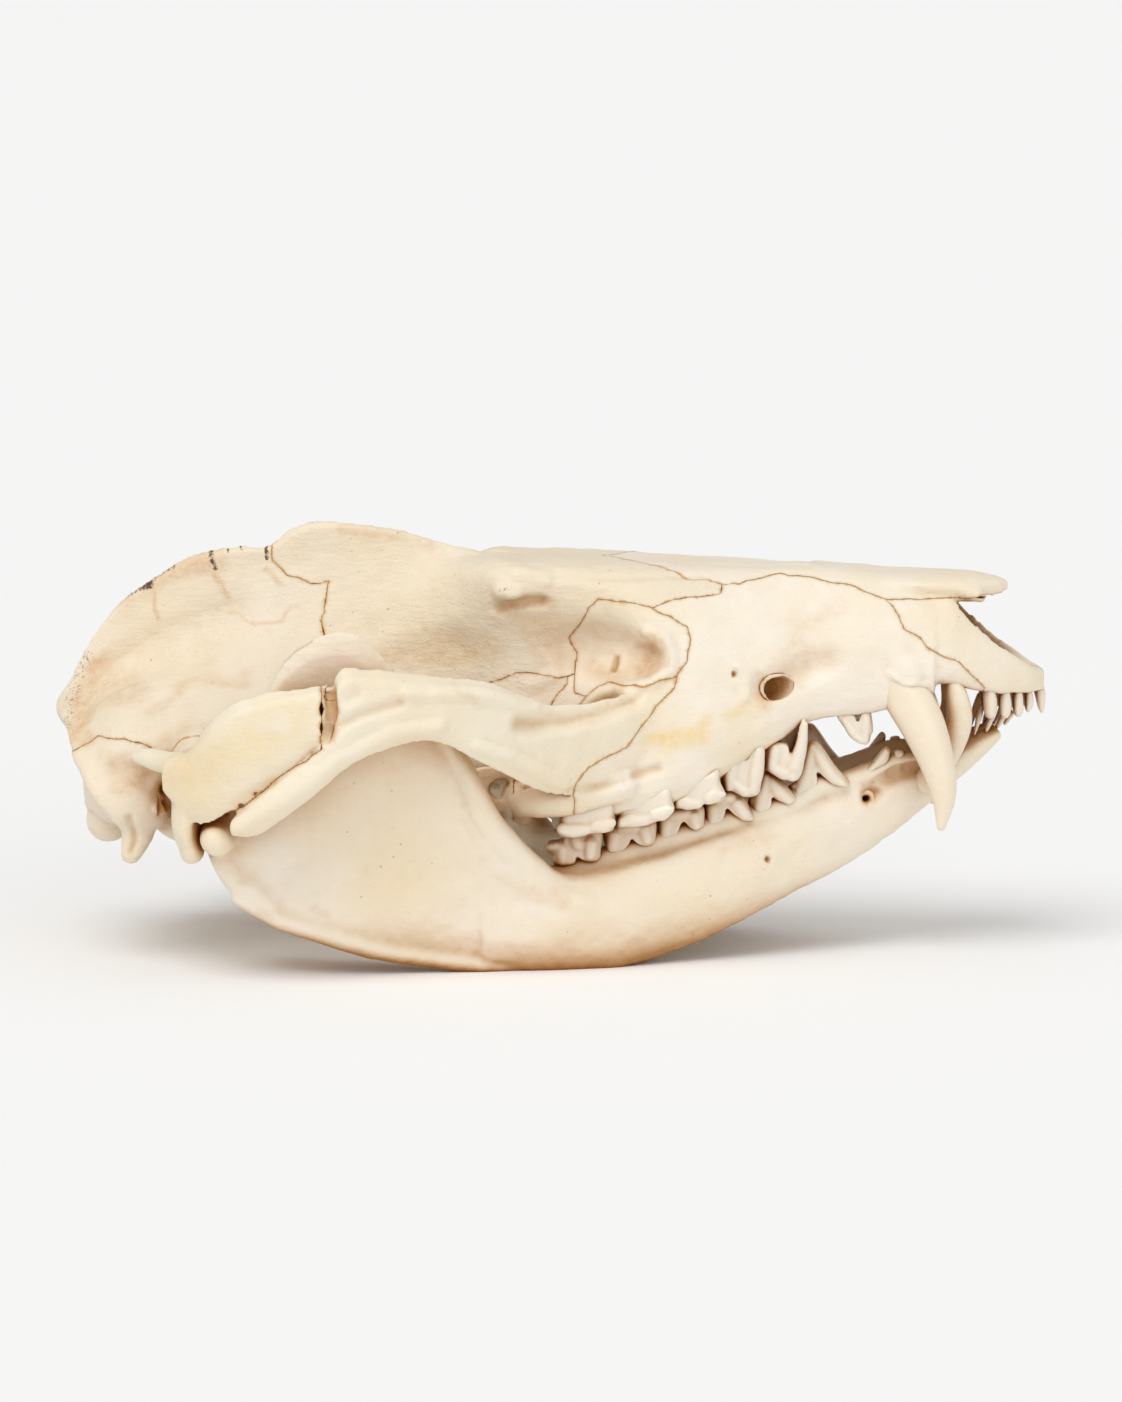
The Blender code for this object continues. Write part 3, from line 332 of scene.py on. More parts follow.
UPPER_CHEEK_TEETH = (
    (9.8, 2.0, (
        (37.1, 32.4), (37.5, 31.1), (38.6, 29.6), (39.6, 28.4), (41.0, 27.7), (41.6, 28.0),
        (41.8, 29.0), (42.1, 29.6), (41.9, 31.5), (41.6, 32.4), (40.6, 32.2), (40.0, 30.7),
        (39.4, 32.0),
    ), (
        ((41.1, 31.3, 0.63), (41.1, 29.9, 0.63), (41.1, 28.4, 0.29)),
        ((38.4, 31.1, 0.46), (39.5, 29.4, 0.63), (40.5, 28.4, 0.46)),
    )),
    (11.6, 2.6, (
        (28.0, 28.2), (27.7, 24.9), (28.9, 24.5), (30.4, 23.5), (31.5, 23.1), (32.4, 23.5),
        (33.0, 24.9), (33.2, 27.6), (33.4, 31.2), (32.8, 31.8), (32.1, 28.2), (31.5, 26.5),
        (31.1, 26.2), (30.8, 28.2),
    ), (
        ((29.3, 27.3, 0.94), (28.9, 25.4, 0.83)),
        ((33.1, 30.7, 0.39), (32.6, 27.6, 0.72), (31.7, 24.9, 0.94), (31.5, 23.8, 0.50)),
        ((28.9, 25.1, 0.66), (30.5, 24.3, 0.83)),
    )),
    (13.0, 3.0, (
        (22.7, 27.3), (22.2, 24.0), (22.4, 22.4), (23.5, 22.1), (25.0, 21.4), (26.3, 21.3),
        (27.2, 21.8), (27.5, 23.1), (27.9, 26.2), (27.9, 28.7), (26.6, 28.4), (25.6, 26.5),
        (24.3, 27.3),
    ), (
        ((23.7, 26.2, 0.88), (23.4, 24.0, 0.94), (23.3, 22.9, 0.66)),
        ((27.1, 27.3, 0.72), (26.7, 24.5, 0.94), (26.4, 22.3, 0.61)),
        ((23.8, 23.3, 0.72), (25.3, 22.2, 0.72)),
    )),
    (15.8, 4.6, (
        (16.3, 23.3), (15.8, 21.5), (16.0, 20.4), (16.9, 20.1), (18.4, 20.2), (19.4, 20.1),
        (19.9, 20.7), (21.2, 20.8), (22.1, 21.0), (22.7, 21.6), (22.8, 22.2), (22.1, 23.7),
        (21.8, 25.5), (19.2, 24.4),
    ), (
        ((16.8, 21.1, 0.66), (17.8, 21.1, 0.88), (19.1, 21.0, 0.66)),
        ((20.6, 21.6, 0.72), (21.6, 22.1, 0.77), (22.4, 22.2, 0.39)),
    )),
    (17.9, 4.8, (
        (9.0, 22.0), (8.6, 19.8), (8.7, 18.1), (9.6, 18.0), (11.1, 18.5), (12.4, 18.2), (13.2, 18.5),
        (14.3, 18.9), (15.6, 19.5), (16.2, 20.4), (15.9, 21.6), (15.6, 23.6), (12.7, 22.5),
    ), (
        ((9.4, 18.9, 0.66), (10.5, 19.2, 0.94), (12.2, 19.2, 0.77)),
        ((13.5, 19.8, 0.66), (14.5, 20.0, 0.88), (15.5, 20.5, 0.55)),
    )),
    (19.4, 4.8, (
        (1.8, 21.4), (1.3, 19.2), (1.0, 17.7), (1.6, 17.0), (2.9, 16.9), (4.3, 17.0), (5.2, 17.4),
        (6.7, 17.5), (8.1, 17.8), (8.5, 18.8), (8.4, 19.9), (8.2, 22.2), (5.1, 21.4),
    ), (
        ((1.8, 18.2, 0.77), (3.1, 18.1, 0.94), (4.6, 18.2, 0.72)),
        ((5.8, 18.6, 0.72), (6.9, 18.7, 0.94), (7.9, 19.0, 0.61)),
    )),
)
LOWER_CHEEK_TEETH = (
    (7.4, 1.6, (
        (43.8, 27.2), (44.4, 26.8), (44.3, 25.7), (43.8, 24.9), (42.5, 24.2), (41.5, 23.4),
        (41.1, 23.9), (42.1, 25.1), (43.0, 26.3),
    ), (
        ((43.9, 26.5, 0.38), (43.1, 25.4, 0.50), (42.1, 24.4, 0.29)),
    )),
    (6.6, 1.2, (
        (44.9, 26.5), (46.1, 26.7), (46.3, 26.0), (45.7, 25.5), (45.2, 25.3),
    ), (
        ((45.4, 25.8, 0.21), (45.9, 26.2, 0.25)),
    )),
    (8.8, 2.4, (
        (31.1, 22.2), (32.8, 22.6), (33.4, 25.6), (33.6, 27.8), (34.5, 28.2), (35.4, 27.5),
        (37.2, 24.9), (38.9, 22.9), (38.9, 22.0), (38.0, 22.1), (35.9, 23.3), (34.8, 24.2),
        (34.9, 22.5), (34.0, 21.1), (32.8, 20.5), (31.7, 20.8),
    ), (
        ((34.1, 27.2, 0.55), (33.6, 25.3, 0.94), (33.1, 22.8, 0.99), (32.4, 21.4, 0.55)),
        ((34.4, 26.9, 0.66), (35.7, 25.0, 0.88), (37.0, 23.3, 0.72), (38.3, 22.5, 0.39)),
    )),
    (10.0, 2.6, (
        (25.8, 20.5), (27.0, 21.9), (27.4, 23.9), (28.0, 24.5), (29.1, 24.2), (30.6, 22.7),
        (32.1, 20.8), (31.7, 20.0), (30.6, 20.1), (29.5, 20.9), (28.9, 21.0), (28.9, 19.8),
        (28.3, 18.7), (27.3, 18.3), (26.3, 18.8),
    ), (
        ((28.1, 23.5, 0.66), (27.6, 21.3, 0.99), (27.2, 19.5, 0.77)),
        ((28.8, 23.0, 0.77), (29.9, 21.6, 0.94), (31.1, 20.6, 0.61)),
    )),
    (11.6, 3.2, (
        (19.9, 19.5), (20.2, 21.3), (22.7, 22.4), (24.8, 22.0), (25.6, 20.7), (26.2, 19.2),
        (26.6, 18.1), (25.6, 17.9), (24.1, 18.8), (23.0, 19.8), (22.7, 18.8), (22.1, 17.5),
        (21.0, 17.0), (20.2, 18.0),
    ), (
        ((21.2, 19.9, 0.94), (21.2, 18.2, 0.88)),
        ((24.2, 20.4, 0.94), (25.3, 18.9, 0.77)),
        ((22.1, 21.3, 0.83), (23.4, 21.3, 0.94)),
    )),
    (13.2, 3.4, (
        (13.8, 17.9), (13.9, 19.4), (16.6, 20.7), (19.8, 20.4), (20.1, 17.9), (19.7, 17.2),
        (18.6, 17.2), (17.7, 18.2), (17.1, 17.9), (16.5, 16.4), (15.1, 15.3), (14.2, 16.0),
    ), (
        ((15.2, 18.2, 0.99), (15.0, 16.6, 0.83)),
        ((18.6, 19.0, 0.94), (19.0, 17.8, 0.66)),
        ((16.3, 19.2, 0.83), (17.8, 19.4, 0.94)),
    )),
    (14.8, 3.4, (
        (6.9, 16.5), (7.1, 17.9), (10.3, 19.0), (13.6, 18.7), (13.8, 16.3), (13.5, 15.3), (12.5, 15.1),
        (11.4, 15.6), (10.7, 16.3), (10.3, 15.4), (9.3, 14.3), (7.9, 13.9), (7.2, 14.9),
    ), (
        ((8.5, 16.8, 1.05), (8.2, 15.1, 0.83)),
        ((12.2, 17.6, 0.99), (12.6, 16.1, 0.72)),
        ((9.7, 17.9, 0.94), (11.2, 17.9, 0.94)),
    )),
    (16.3, 3.4, (
        (-0.5, 15.3), (-0.1, 16.0), (1.0, 16.2), (1.8, 16.6), (2.3, 18.1), (6.5, 18.1), (6.7, 15.1),
        (6.4, 13.5), (5.2, 13.3), (4.2, 13.6), (3.7, 14.1), (3.3, 13.0), (2.1, 12.7), (0.5, 13.0),
        (0.2, 14.3), (-0.5, 14.6),
    ), (
        ((0.1, 15.3, 0.50), (1.0, 15.5, 0.55)),
        ((1.6, 15.1, 0.94), (1.6, 13.7, 0.77)),
        ((5.3, 15.9, 0.99), (5.2, 14.3, 0.77)),
        ((3.3, 16.8, 0.94), (3.6, 15.7, 0.88)),
    )),
)
LOWER_INCISORS = (
    (4.6, 1.2, (
        (56.4, 32.8), (56.8, 32.5), (56.6, 31.0), (56.1, 29.5), (55.6, 28.2), (55.4, 28.4),
        (55.6, 30.0), (55.9, 31.6),
    ), (
        ((56.5, 32.3, 0.25), (56.1, 30.8, 0.38), (55.7, 29.1, 0.21)),
    )),
    (3.9, 1.2, (
        (57.7, 31.3), (58.2, 30.9), (57.8, 29.6), (57.2, 28.5), (56.9, 28.6), (57.1, 29.9),
    ), (
        ((57.8, 30.9, 0.29), (57.4, 29.6, 0.33)),
    )),
    (2.8, 1.2, (
        (59.1, 31.2), (59.8, 30.8), (59.4, 29.7), (58.6, 28.8), (58.3, 29.1), (58.7, 30.1),
    ), (
        ((59.3, 30.6, 0.29), (58.9, 29.7, 0.29)),
    )),
    (1.4, 1.2, (
        (60.3, 31.1), (60.9, 30.7), (60.5, 29.9), (59.8, 29.1), (59.4, 29.3), (59.8, 30.3),
    ), (
        ((60.4, 30.7, 0.29), (60.1, 29.9, 0.25)),
    )),
)
# Canine teeth: points along the middle of the tooth, from the root to the tip, and the half-thickness there.
UPPER_CANINE = (
    (44.9, 8.4, 37.5), (46.4, 9.2, 34.2), (48.4, 10.2, 30.6), (50.2, 10.9, 26.0), (51.2, 11.3, 21.4),
    (50.9, 11.5, 17.2)
)
UPPER_CANINE_RADII = (2.7, 3.1, 2.95, 2.35, 1.65, 0.55)
# Swelling of the bone over the canine's root.
CANINE_ROOT = ((41.4, 6.0, 45.0), (43.8, 7.4, 40.6), (46.4, 8.3, 37.2))
CANINE_ROOT_RADII = (2.2, 2.9, 3.3)
LOWER_CANINE = ((49.0, 5.0, 22.0), (51.4, 6.0, 25.6), (53.3, 7.0, 30.2), (53.0, 7.6, 34.0), (52.2, 7.8, 37.0))
LOWER_CANINE_RADII = (1.8, 1.9, 1.75, 1.4, 0.6)
CANINE_FLATNESS = 0.8
TOOTH_SLAB = ((0.06, 0.72), (0.12, 0.88), (0.3, 1.0), (0.7, 0.97), (0.9, 0.85), (1.0, 0.7))
BAR_WIDTH = 1.2
BAR_DEPTH = 0.9
TOOTH_SMOOTHING = 7

# Where the bones meet. Each bone has one block or more: its outline in side view as (station, height),
# then the half-breadths it lies between. A block of both sides starts at a negative half-breadth.
PREMAXILLA_OUTLINE = (
    (43.6, 46.6), (45.2, 44.6), (46.0, 43.0), (49.0, 40.8), (52.4, 38.8), (54.4, 37.4), (56.6, 35.0),
    (56.0, 30.0),
    (70.0, 30.0), (70.0, 46.6),
)
PREMAXILLA = ((PREMAXILLA_OUTLINE, 0.0, 20.0),)
NASAL_SIDE = (
    (2.0, 48.0), (21.7, 47.6), (25.7, 49.1), (30.1, 49.6), (34.8, 49.3), (39.6, 48.1), (43.4, 46.6),
    (70.0, 46.6),
    (70.0, 60.0), (2.0, 60.0),
)
NASAL_PLAN = (
    (7.0, 0.0), (12.0, 6.0), (18.0, 8.8), (26.0, 8.0), (36.0, 7.4), (70.0, 9.0),
    (70.0, -9.0), (36.0, -7.4), (26.0, -8.0), (18.0, -8.8), (12.0, -6.0),
)
NASAL = ((NASAL_SIDE, -9.5, 9.5),)
JUGAL_OUTLINE = (
    (-28.6, 45.0), (-28.8, 31.0), (-33.9, 27.3), (-37.3, 24.8), (-41.0, 21.7), (-43.0, 20.4), (-43.0, 10.0),
    (3.2, 10.0), (3.2, 23.2), (3.5, 24.8), (5.0, 26.7), (10.0, 28.9), (12.5, 32.0), (16.2, 36.4),
    (16.4, 37.4),
    (11.9, 36.2), (6.0, 36.6), (6.0, 45.0),
)
JUGAL_FORE = (
    (3.2, 23.2), (3.5, 24.8), (5.0, 26.7), (10.0, 28.9), (12.5, 32.0), (16.2, 36.4), (16.4, 37.4),
    (11.9, 36.2),
    (6.0, 36.6), (3.2, 37.0),
)
JUGAL = ((JUGAL_OUTLINE, 17.6, 45.0), (JUGAL_FORE, 13.6, 18.0))
LACRIMAL_OUTLINE = (
    (5.1, 46.6), (6.3, 47.4), (12.5, 46.3), (15.7, 45.2), (18.0, 43.8), (18.2, 42.2), (17.7, 39.4),
    (16.3, 37.5),
    (11.9, 36.0), (9.0, 34.6), (3.4, 35.0), (3.3, 37.6), (3.6, 39.8), (2.6, 41.7), (4.2, 43.9),
)
LACRIMAL = ((LACRIMAL_OUTLINE, 6.0, 20.0),)
SQUAMOSAL_OUTLINE = ((-28.9, 50.0), (-28.9, 24.0), (-36.0, 8.0), (-50.5, 8.0), (-50.5, 50.0))
SQUAMOSAL_TIP = ((-57.0, 25.4), (-50.0, 25.0), (-50.0, 30.4), (-57.0, 30.0))
SQUAMOSAL = ((SQUAMOSAL_OUTLINE, 17.5, 45.0), (SQUAMOSAL_TIP, 17.9, 45.0))
OCCIPITAL_OUTLINE = (
    (-70.0, 27.3), (-62.6, 27.1), (-58.6, 29.4), (-55.0, 29.4), (-52.0, 28.6), (-48.5, 27.0), (-47.0, 23.0),
    (-48.0, 20.0), (-38.0, 21.0), (-38.0, 8.0), (-70.0, 8.0),
)
OCCIPITAL = ((OCCIPITAL_OUTLINE, -30.0, 30.0),)
PARIETAL_OUTLINE = (
    (-70.0, 60.0), (-70.0, 20.0), (-48.0, 20.0), (-40.0, 24.5), (-30.5, 27.0), (-29.9, 36.0), (-29.0, 40.0),
    (-29.7, 43.4), (-28.8, 48.3), (-31.1, 48.1), (-34.3, 48.9), (-36.0, 50.9), (-36.6, 54.0), (-36.6, 60.0),
)
PARIETAL = ((PARIETAL_OUTLINE, -30.0, 30.0),)
FRONTAL_OUTLINE = (
    (-40.0, 60.0), (-32.0, 36.0), (-31.0, 29.0), (-16.0, 33.0), (-6.3, 36.3), (-4.4, 37.4), (1.3, 37.0),
    (5.0, 37.6),
    (8.0, 40.0), (9.0, 45.6), (13.0, 46.1), (16.9, 47.1), (22.1, 47.7), (24.0, 60.0),
)
FRONTAL = ((FRONTAL_OUTLINE, -30.0, 30.0),)
MAXILLA_OUTLINE = (
    (-4.6, 10.0), (-4.6, 23.4), (-2.0, 27.0), (0.7, 34.0), (2.6, 36.0), (3.4, 60.0), (60.0, 60.0),
    (60.0, 10.0)
)
MAXILLA = ((MAXILLA_OUTLINE, 0.0, 30.0),)
# The bones cut off the cranium, in this order: name, blocks, finish, slot, whether it is one of a pair.
CUT_BONES = (
    ("jugal", JUGAL, "Cheek bone", "pale_bone", True),
    ("squamosal", SQUAMOSAL, "Cheek bone", "warm_bone", True),
    ("lacrimal", LACRIMAL, "Face bone", "pale_bone", True),
    ("nasals", NASAL, "Face bone", "pale_bone", False),
    ("premaxilla", PREMAXILLA, "Face bone", "pale_bone", True),
    ("occipital", OCCIPITAL, "Braincase bone", "bone", False),
    ("parietal", PARIETAL, "Braincase bone", "bone", False),
    ("frontal", FRONTAL, "Braincase bone", "bone", False),
    ("maxilla", MAXILLA, "Face bone", "pale_bone", True),
)
SEAM_STEP = 0.5
SEAM_WAVES = ((3.0, 0.28), (1.2, 0.22))

# Relief. A stroke is a line in side view, the half-breadths it lies between, its width and its height,
# which is below zero for a groove. It lies on both sides of the head.
CRANIUM_RELIEF = (
    # Temporal line from the crest to the brow, with the rough knob of the brow and the groove under it.
    (((-20.0, 54.6), (-15.4, 54.0), (-11.0, 53.2), (-7.9, 52.0), (-4.4, 50.7), (-0.5, 49.6)),
    (0.4, 13.0), 1.2, 0.5),
    (((-6.3, 48.2), (-4.6, 47.9)), (6.0, 16.0), 1.6, 0.9),
    (((-6.6, 45.9), (-4.4, 46.6), (-1.0, 46.9)), (6.0, 16.0), 1.3, -0.9),
    # Furrow between the crest and the swell of the braincase, and the swell itself.
    (((-61.9, 38.0), (-54.9, 38.6), (-47.1, 41.1), (-42.0, 44.3)), (1.0, 20.0), 5.0, -0.9),
    (((-46.5, 29.5), (-42.0, 31.0), (-37.0, 31.5)), (6.0, 20.0), 6.0, 1.1),
    (((-58.5, 32.5), (-55.0, 32.6)), (6.0, 20.0), 4.0, 0.5),
    (((-33.0, 35.0), (-20.0, 38.0), (-12.0, 40.0)), (1.0, 14.0), 4.0, -0.5),
    # Rough back corner of the head and its pits.
    (((-56.2, 25.4), (-52.4, 24.6)), (9.0, 22.0), 2.0, -0.6),
    (((-49.5, 23.2), (-49.4, 22.9)), (9.0, 22.0), 0.9, -1.2),
    (((-49.4, 21.3), (-49.3, 21.0)), (9.0, 22.0), 0.8, -1.0),
    (((-50.6, 20.8), (-50.0, 20.6)), (9.0, 22.0), 0.9, 0.5),
    (((-54.2, 19.6), (-53.5, 16.4), (-54.0, 15.0)), (12.0, 20.0), 0.7, -0.45),
    # Fore edge of the squamosal plate, with the pitted hollow before it.
    (((-28.1, 38.4), (-27.4, 35.6), (-27.9, 32.4)), (28.0, 36.0), 1.3, -1.2),
    (((-25.6, 37.4), (-24.4, 38.0)), (28.0, 36.0), 1.6, -0.4),
    (((-27.4, 33.2), (-24.0, 35.2), (-19.0, 36.6)), (28.0, 36.0), 1.2, -0.5),
    # Lower bar of the cheek arch, its underside and the hollow below its upper edge.
    (((-39.5, 20.8), (-33.0, 25.0), (-27.0, 29.2), (-20.0, 32.6), (-14.0, 33.4)), (27.0, 36.0), 1.6, 0.5),
    (((-18.0, 37.8), (-10.8, 37.6), (-6.1, 36.6), (-1.8, 34.9)), (18.0, 36.0), 1.3, 0.45),
    (((-3.4, 32.9), (1.9, 32.9), (6.3, 33.6), (10.7, 35.0)), (14.0, 32.0), 2.0, -1.1),
    (((-9.0, 30.4), (-5.0, 28.8), (-1.0, 26.4), (1.6, 24.6)), (18.0, 36.0), 1.4, 0.5),
    (((2.6, 23.4), (8.0, 24.2), (14.0, 25.8)), (12.0, 26.0), 1.1, -0.5),
    # Rim and pit of the orbit.
    (((12.6, 43.2), (15.0, 42.3), (15.9, 40.2), (15.6, 38.3), (13.0, 36.6), (9.0, 35.6)),
    (10.0, 24.0), 1.1, 0.55),
    (((8.7, 39.2), (8.4, 38.0)), (6.0, 20.0), 0.6, -0.5),
    (((0.5, 37.0), (-2.5, 35.8)), (6.0, 20.0), 1.6, 0.35),
    # Hollow of the cheek over the teeth and the canal that opens at its rear.
    (((28.4, 35.8), (32.0, 37.2), (36.0, 39.0)), (8.0, 20.0), 2.8, -0.9),
    (((24.6, 38.4), (25.6, 37.4), (25.4, 34.6)), (8.0, 20.0), 1.2, 0.35),
    (((24.0, 37.8), (24.0, 37.6)), (8.0, 20.0), 0.5, -0.7),
    (((44.0, 37.4), (45.8, 36.0), (48.6, 35.8)), (8.0, 20.0), 0.7, 0.35),
    # Fine lines along the roof of the nose.
    (((-2.0, 49.9), (8.0, 49.8), (20.0, 49.6)), (6.0, 13.0), 0.5, -0.25),
    (((5.0, 51.0), (20.0, 50.6), (34.0, 50.4)), (2.0, 5.0), 0.5, -0.2),
)
# Stretches of surface that are evened out: line, half-width, passes.
CRANIUM_SOFT = (
    (((-60.0, 34.0), (-50.0, 40.0), (-38.0, 43.0), (-24.0, 46.0), (-15.0, 48.0)), (0.0, 20.0), 8.0, 140),
    (((-57.0, 27.0), (-54.0, 22.0)), (6.0, 22.0), 6.0, 40),
    (((0.0, 33.0), (8.0, 33.0), (16.0, 33.0), (24.0, 36.0)), (9.0, 30.0), 6.0, 50),
    (((-6.0, 44.0), (6.0, 45.5), (12.0, 45.0)), (6.0, 20.0), 4.0, 60),
)
JAW_RELIEF = (
    (((41.8, 21.3), (42.6, 20.9)), (2.0, 14.0), 1.5, -0.9),
    (((43.0, 22.0), (45.5, 23.6), (48.0, 24.0)), (2.0, 14.0), 1.6, -0.8),
    (((28.3, 13.1), (28.4, 12.9)), (4.0, 16.0), 0.5, -0.8),
    (((-33.0, 12.0), (-22.0, 14.0), (-12.0, 12.0)), (18.0, 30.0), 8.0, -0.5),
    (((-10.0, 21.0), (-6.5, 14.0), (-1.0, 10.2), (5.0, 8.6)), (14.0, 30.0), 1.7, 0.35),
    (((2.0, 7.0), (14.0, 7.6), (26.0, 10.6)), (8.0, 24.0), 4.0, 0.3),
)
JAW_SOFT = (
    (((-4.0, 11.0), (10.0, 10.0), (24.0, 12.0), (40.0, 18.0)), (3.0, 30.0), 5.0, 30),
)
# Rough surface all over: size of its lumps and their height.
NOISE_START = 200.0
ROUGHNESS = ((8.0, 0.3), (3.1, 0.13), (1.3, 0.055), (0.7, 0.03))
# How far noise bends the edges of the stains, and the size of its lumps.
STAIN_BEND, STAIN_LUMP = 1.3, 2.6

# Brown stains, and painted shade in some pits, grooves and holes, in side view as above: line, half-breadths,
# width, strength.
STAINS_AND_PAINTED_SHADE = (
    (((-61.5, 29.5), (-61.0, 33.5), (-59.5, 37.0)), (0.0, 20.0), 2.6, 0.9),
    (((-59.0, 34.6), (-54.0, 35.0)), (0.0, 20.0), 2.4, 0.5),
    (((-56.0, 46.0), (-50.0, 49.0), (-44.0, 51.0)), (0.0, 20.0), 2.4, 0.7),
    (((-44.2, 51.5), (-43.2, 48.8), (-42.0, 46.6)), (0.0, 20.0), 0.8, 0.9),
    (((-53.0, 47.0), (-51.8, 44.8), (-51.0, 43.2)), (0.0, 20.0), 0.5, 0.9),
    (((-36.9, 49.6), (-35.6, 48.4), (-34.8, 47.6)), (0.0, 20.0), 0.6, 0.7),
    (((-43.0, 43.6), (-39.0, 43.6), (-36.0, 43.0), (-33.0, 44.4)), (0.0, 20.0), 0.5, 0.6),
    (((-50.8, 32.7), (-48.2, 35.4), (-43.8, 36.8), (-39.2, 36.5)), (0.0, 20.0), 1.8, 0.5),
    (((-49.0, 30.0), (-47.0, 31.5)), (0.0, 20.0), 2.0, 0.4),
    (((-56.4, 26.5), (-52.0, 25.6), (-55.0, 23.4)), (8.0, 22.0), 2.4, 0.65),
    # Painted shade in the pits at the back corner of the head.
    (((-49.4, 23.4), (-49.3, 20.9)), (8.0, 24.0), 1.2, 0.9),
    (((-27.0, 55.2), (-22.0, 54.8), (-16.0, 53.8)), (0.0, 20.0), 1.4, 0.4),
    (((-6.6, 45.9), (-4.4, 46.6), (0.5, 46.9)), (5.0, 20.0), 1.6, 1.0),
    (((-5.0, 44.6), (0.0, 43.6), (0.0, 40.0)), (5.0, 20.0), 3.4, 0.5),
    (((-16.0, 42.4), (-14.6, 42.0)), (0.0, 20.0), 1.6, 0.4),
    (((-27.0, 39.0), (-20.0, 39.0), (-12.0, 39.4), (-8.0, 41.0)), (0.0, 16.0), 3.2, 0.45),
    # Painted shade in and around the pit of the orbit.
    (((13.0, 42.0), (13.6, 40.0), (12.0, 38.2)), (5.0, 20.0), 1.6, 0.9),
    (((8.7, 39.6), (8.3, 38.0)), (5.0, 20.0), 1.0, 0.9),
    (((6.0, 38.0), (10.0, 37.0)), (5.0, 20.0), 2.0, 0.5),
    # Painted shadow in the hollow below the upper edge of the cheek arch.
    (((-3.4, 32.9), (1.9, 32.9), (6.3, 34.0), (9.7, 35.2)), (14.0, 32.0), 1.6, 0.4),
    (((-10.0, 37.0), (-11.6, 38.0)), (22.0, 36.0), 1.2, 0.4),
    # Painted shadow along the fore edge of the squamosal plate.
    (((-27.6, 38.0), (-26.6, 35.0), (-27.4, 32.6)), (28.0, 36.0), 1.2, 0.55),
    # Painted shade in the cheek canal: dark at its rear edge, fading forward.
    (((27.6, 36.6), (28.0, 35.4), (27.8, 34.4)), (6.0, 20.0), 2.0, 0.9),
    (((28.0, 35.6), (32.4, 36.2)), (6.0, 20.0), 2.0, 0.5),
    # Painted shade in the shallow hollow beside the cheek canal.
    (((31.0, 38.0), (33.4, 39.6), (32.0, 42.0)), (6.0, 20.0), 3.0, 0.45),
    (((31.0, 44.0), (38.0, 45.6)), (4.0, 20.0), 1.8, 0.3),
    (((-41.0, 15.6), (-40.0, 13.0)), (18.0, 34.0), 1.6, 0.4),
    (((-30.0, 8.8), (-28.0, 7.6)), (18.0, 34.0), 1.0, 0.4),
    # Painted shade in the chin canal and in the shallow hollow before it.
    (((41.6, 21.2), (42.4, 20.4)), (2.0, 14.0), 1.6, 0.9),
    (((44.0, 22.4), (47.0, 23.8)), (2.0, 14.0), 1.8, 0.4),
    (((-3.0, 10.0), (2.0, 9.6)), (8.0, 30.0), 1.4, 0.35),
    (((22.0, 14.0), (28.0, 15.8)), (4.0, 20.0), 1.8, 0.35),
)
# Yellow patches.
YELLOWS = (
    (((13.5, 29.2), (17.2, 30.2), (20.3, 31.1)), (8.0, 26.0), 2.2, 0.9),
    (((23.5, 32.7), (26.6, 33.4)), (8.0, 20.0), 1.8, 0.6),
    (((-47.0, 26.0), (-40.0, 30.0), (-33.0, 34.0)), (24.0, 36.0), 6.0, 0.5),
)
# Dark deposit of the crest and specks at the back of the head.
SOOTS = (
    (((-57.5, 45.2), (-54.4, 47.0), (-51.9, 48.9), (-49.4, 50.4)), (0.0, 4.0), 1.3, 0.85),
    (((-53.4, 47.4), (-52.6, 47.6)), (0.0, 4.0), 1.3, 0.9),
    (((-50.0, 50.4), (-46.5, 52.0), (-44.6, 52.5)), (0.0, 4.0), 0.7, 0.7),
    (((-44.5, 52.8), (-44.2, 51.2), (-43.6, 50.0)), (0.0, 4.0), 0.65, 0.85),
    (((-42.2, 52.9), (-41.9, 51.8)), (0.0, 4.0), 0.45, 0.75),
    (((-40.4, 52.9), (-40.2, 52.0)), (0.0, 4.0), 0.4, 0.7),
    (((-36.9, 53.8), (-36.8, 51.0)), (0.0, 4.0), 0.5, 0.95),
    (((-62.6, 38.6), (-60.0, 42.2), (-57.2, 45.4)), (0.0, 4.0), 0.6, 0.6),
    (((-63.0, 30.0), (-62.0, 35.0), (-60.6, 38.4)), (0.0, 20.0), 2.4, 0.45),
    (((-31.5, 55.8), (-26.0, 56.3), (-15.0, 54.4)), (0.0, 4.0), 0.5, 0.45),
    (((-6.9, 48.4), (-5.0, 48.8)), (5.0, 20.0), 0.7, 0.5),
)

# Camera and light.
CAMERA_DISTANCE = 1.0
FLOOR_SIZE = 6.0
CAMERA_SENSOR = 36.0
CAMERA_LENS = 244.7
CAMERA_RISE = 8.0
CAMERA_AIM = (0.0015, 0.0, 0.0322)
ROOM_LIGHT = 0.56
# Soft lamps far off: name, the way to the lamp, its breadth in degrees, its strength.
SUNS = (("Top lamp", (-0.35, -0.55, 1.0), 40.0, 1.3), ("Front lamp", (0.45, -1.0, 0.35), 50.0, 0.55))
# Height of the fine grain of the bone, in metres.
BONE_GRAIN = 0.00035
# Shading of crevices: how far a surface looks for others, in metres.
BONE_CREVICE = 0.0008
TOOTH_CREVICE = 0.0011
# How open a spot is where its painted shade starts and where it is full, then how strong that shade is at
# either end.
AMBER_SHADE_RANGE = (0.8, 0.3, 0.0, 1.0)
DEEP_SHADE_RANGE = (0.5, 0.2, 0.0, 0.85)
CREVICE_SHADE_RANGE = (0.78, 0.35, 0.0, 0.95)
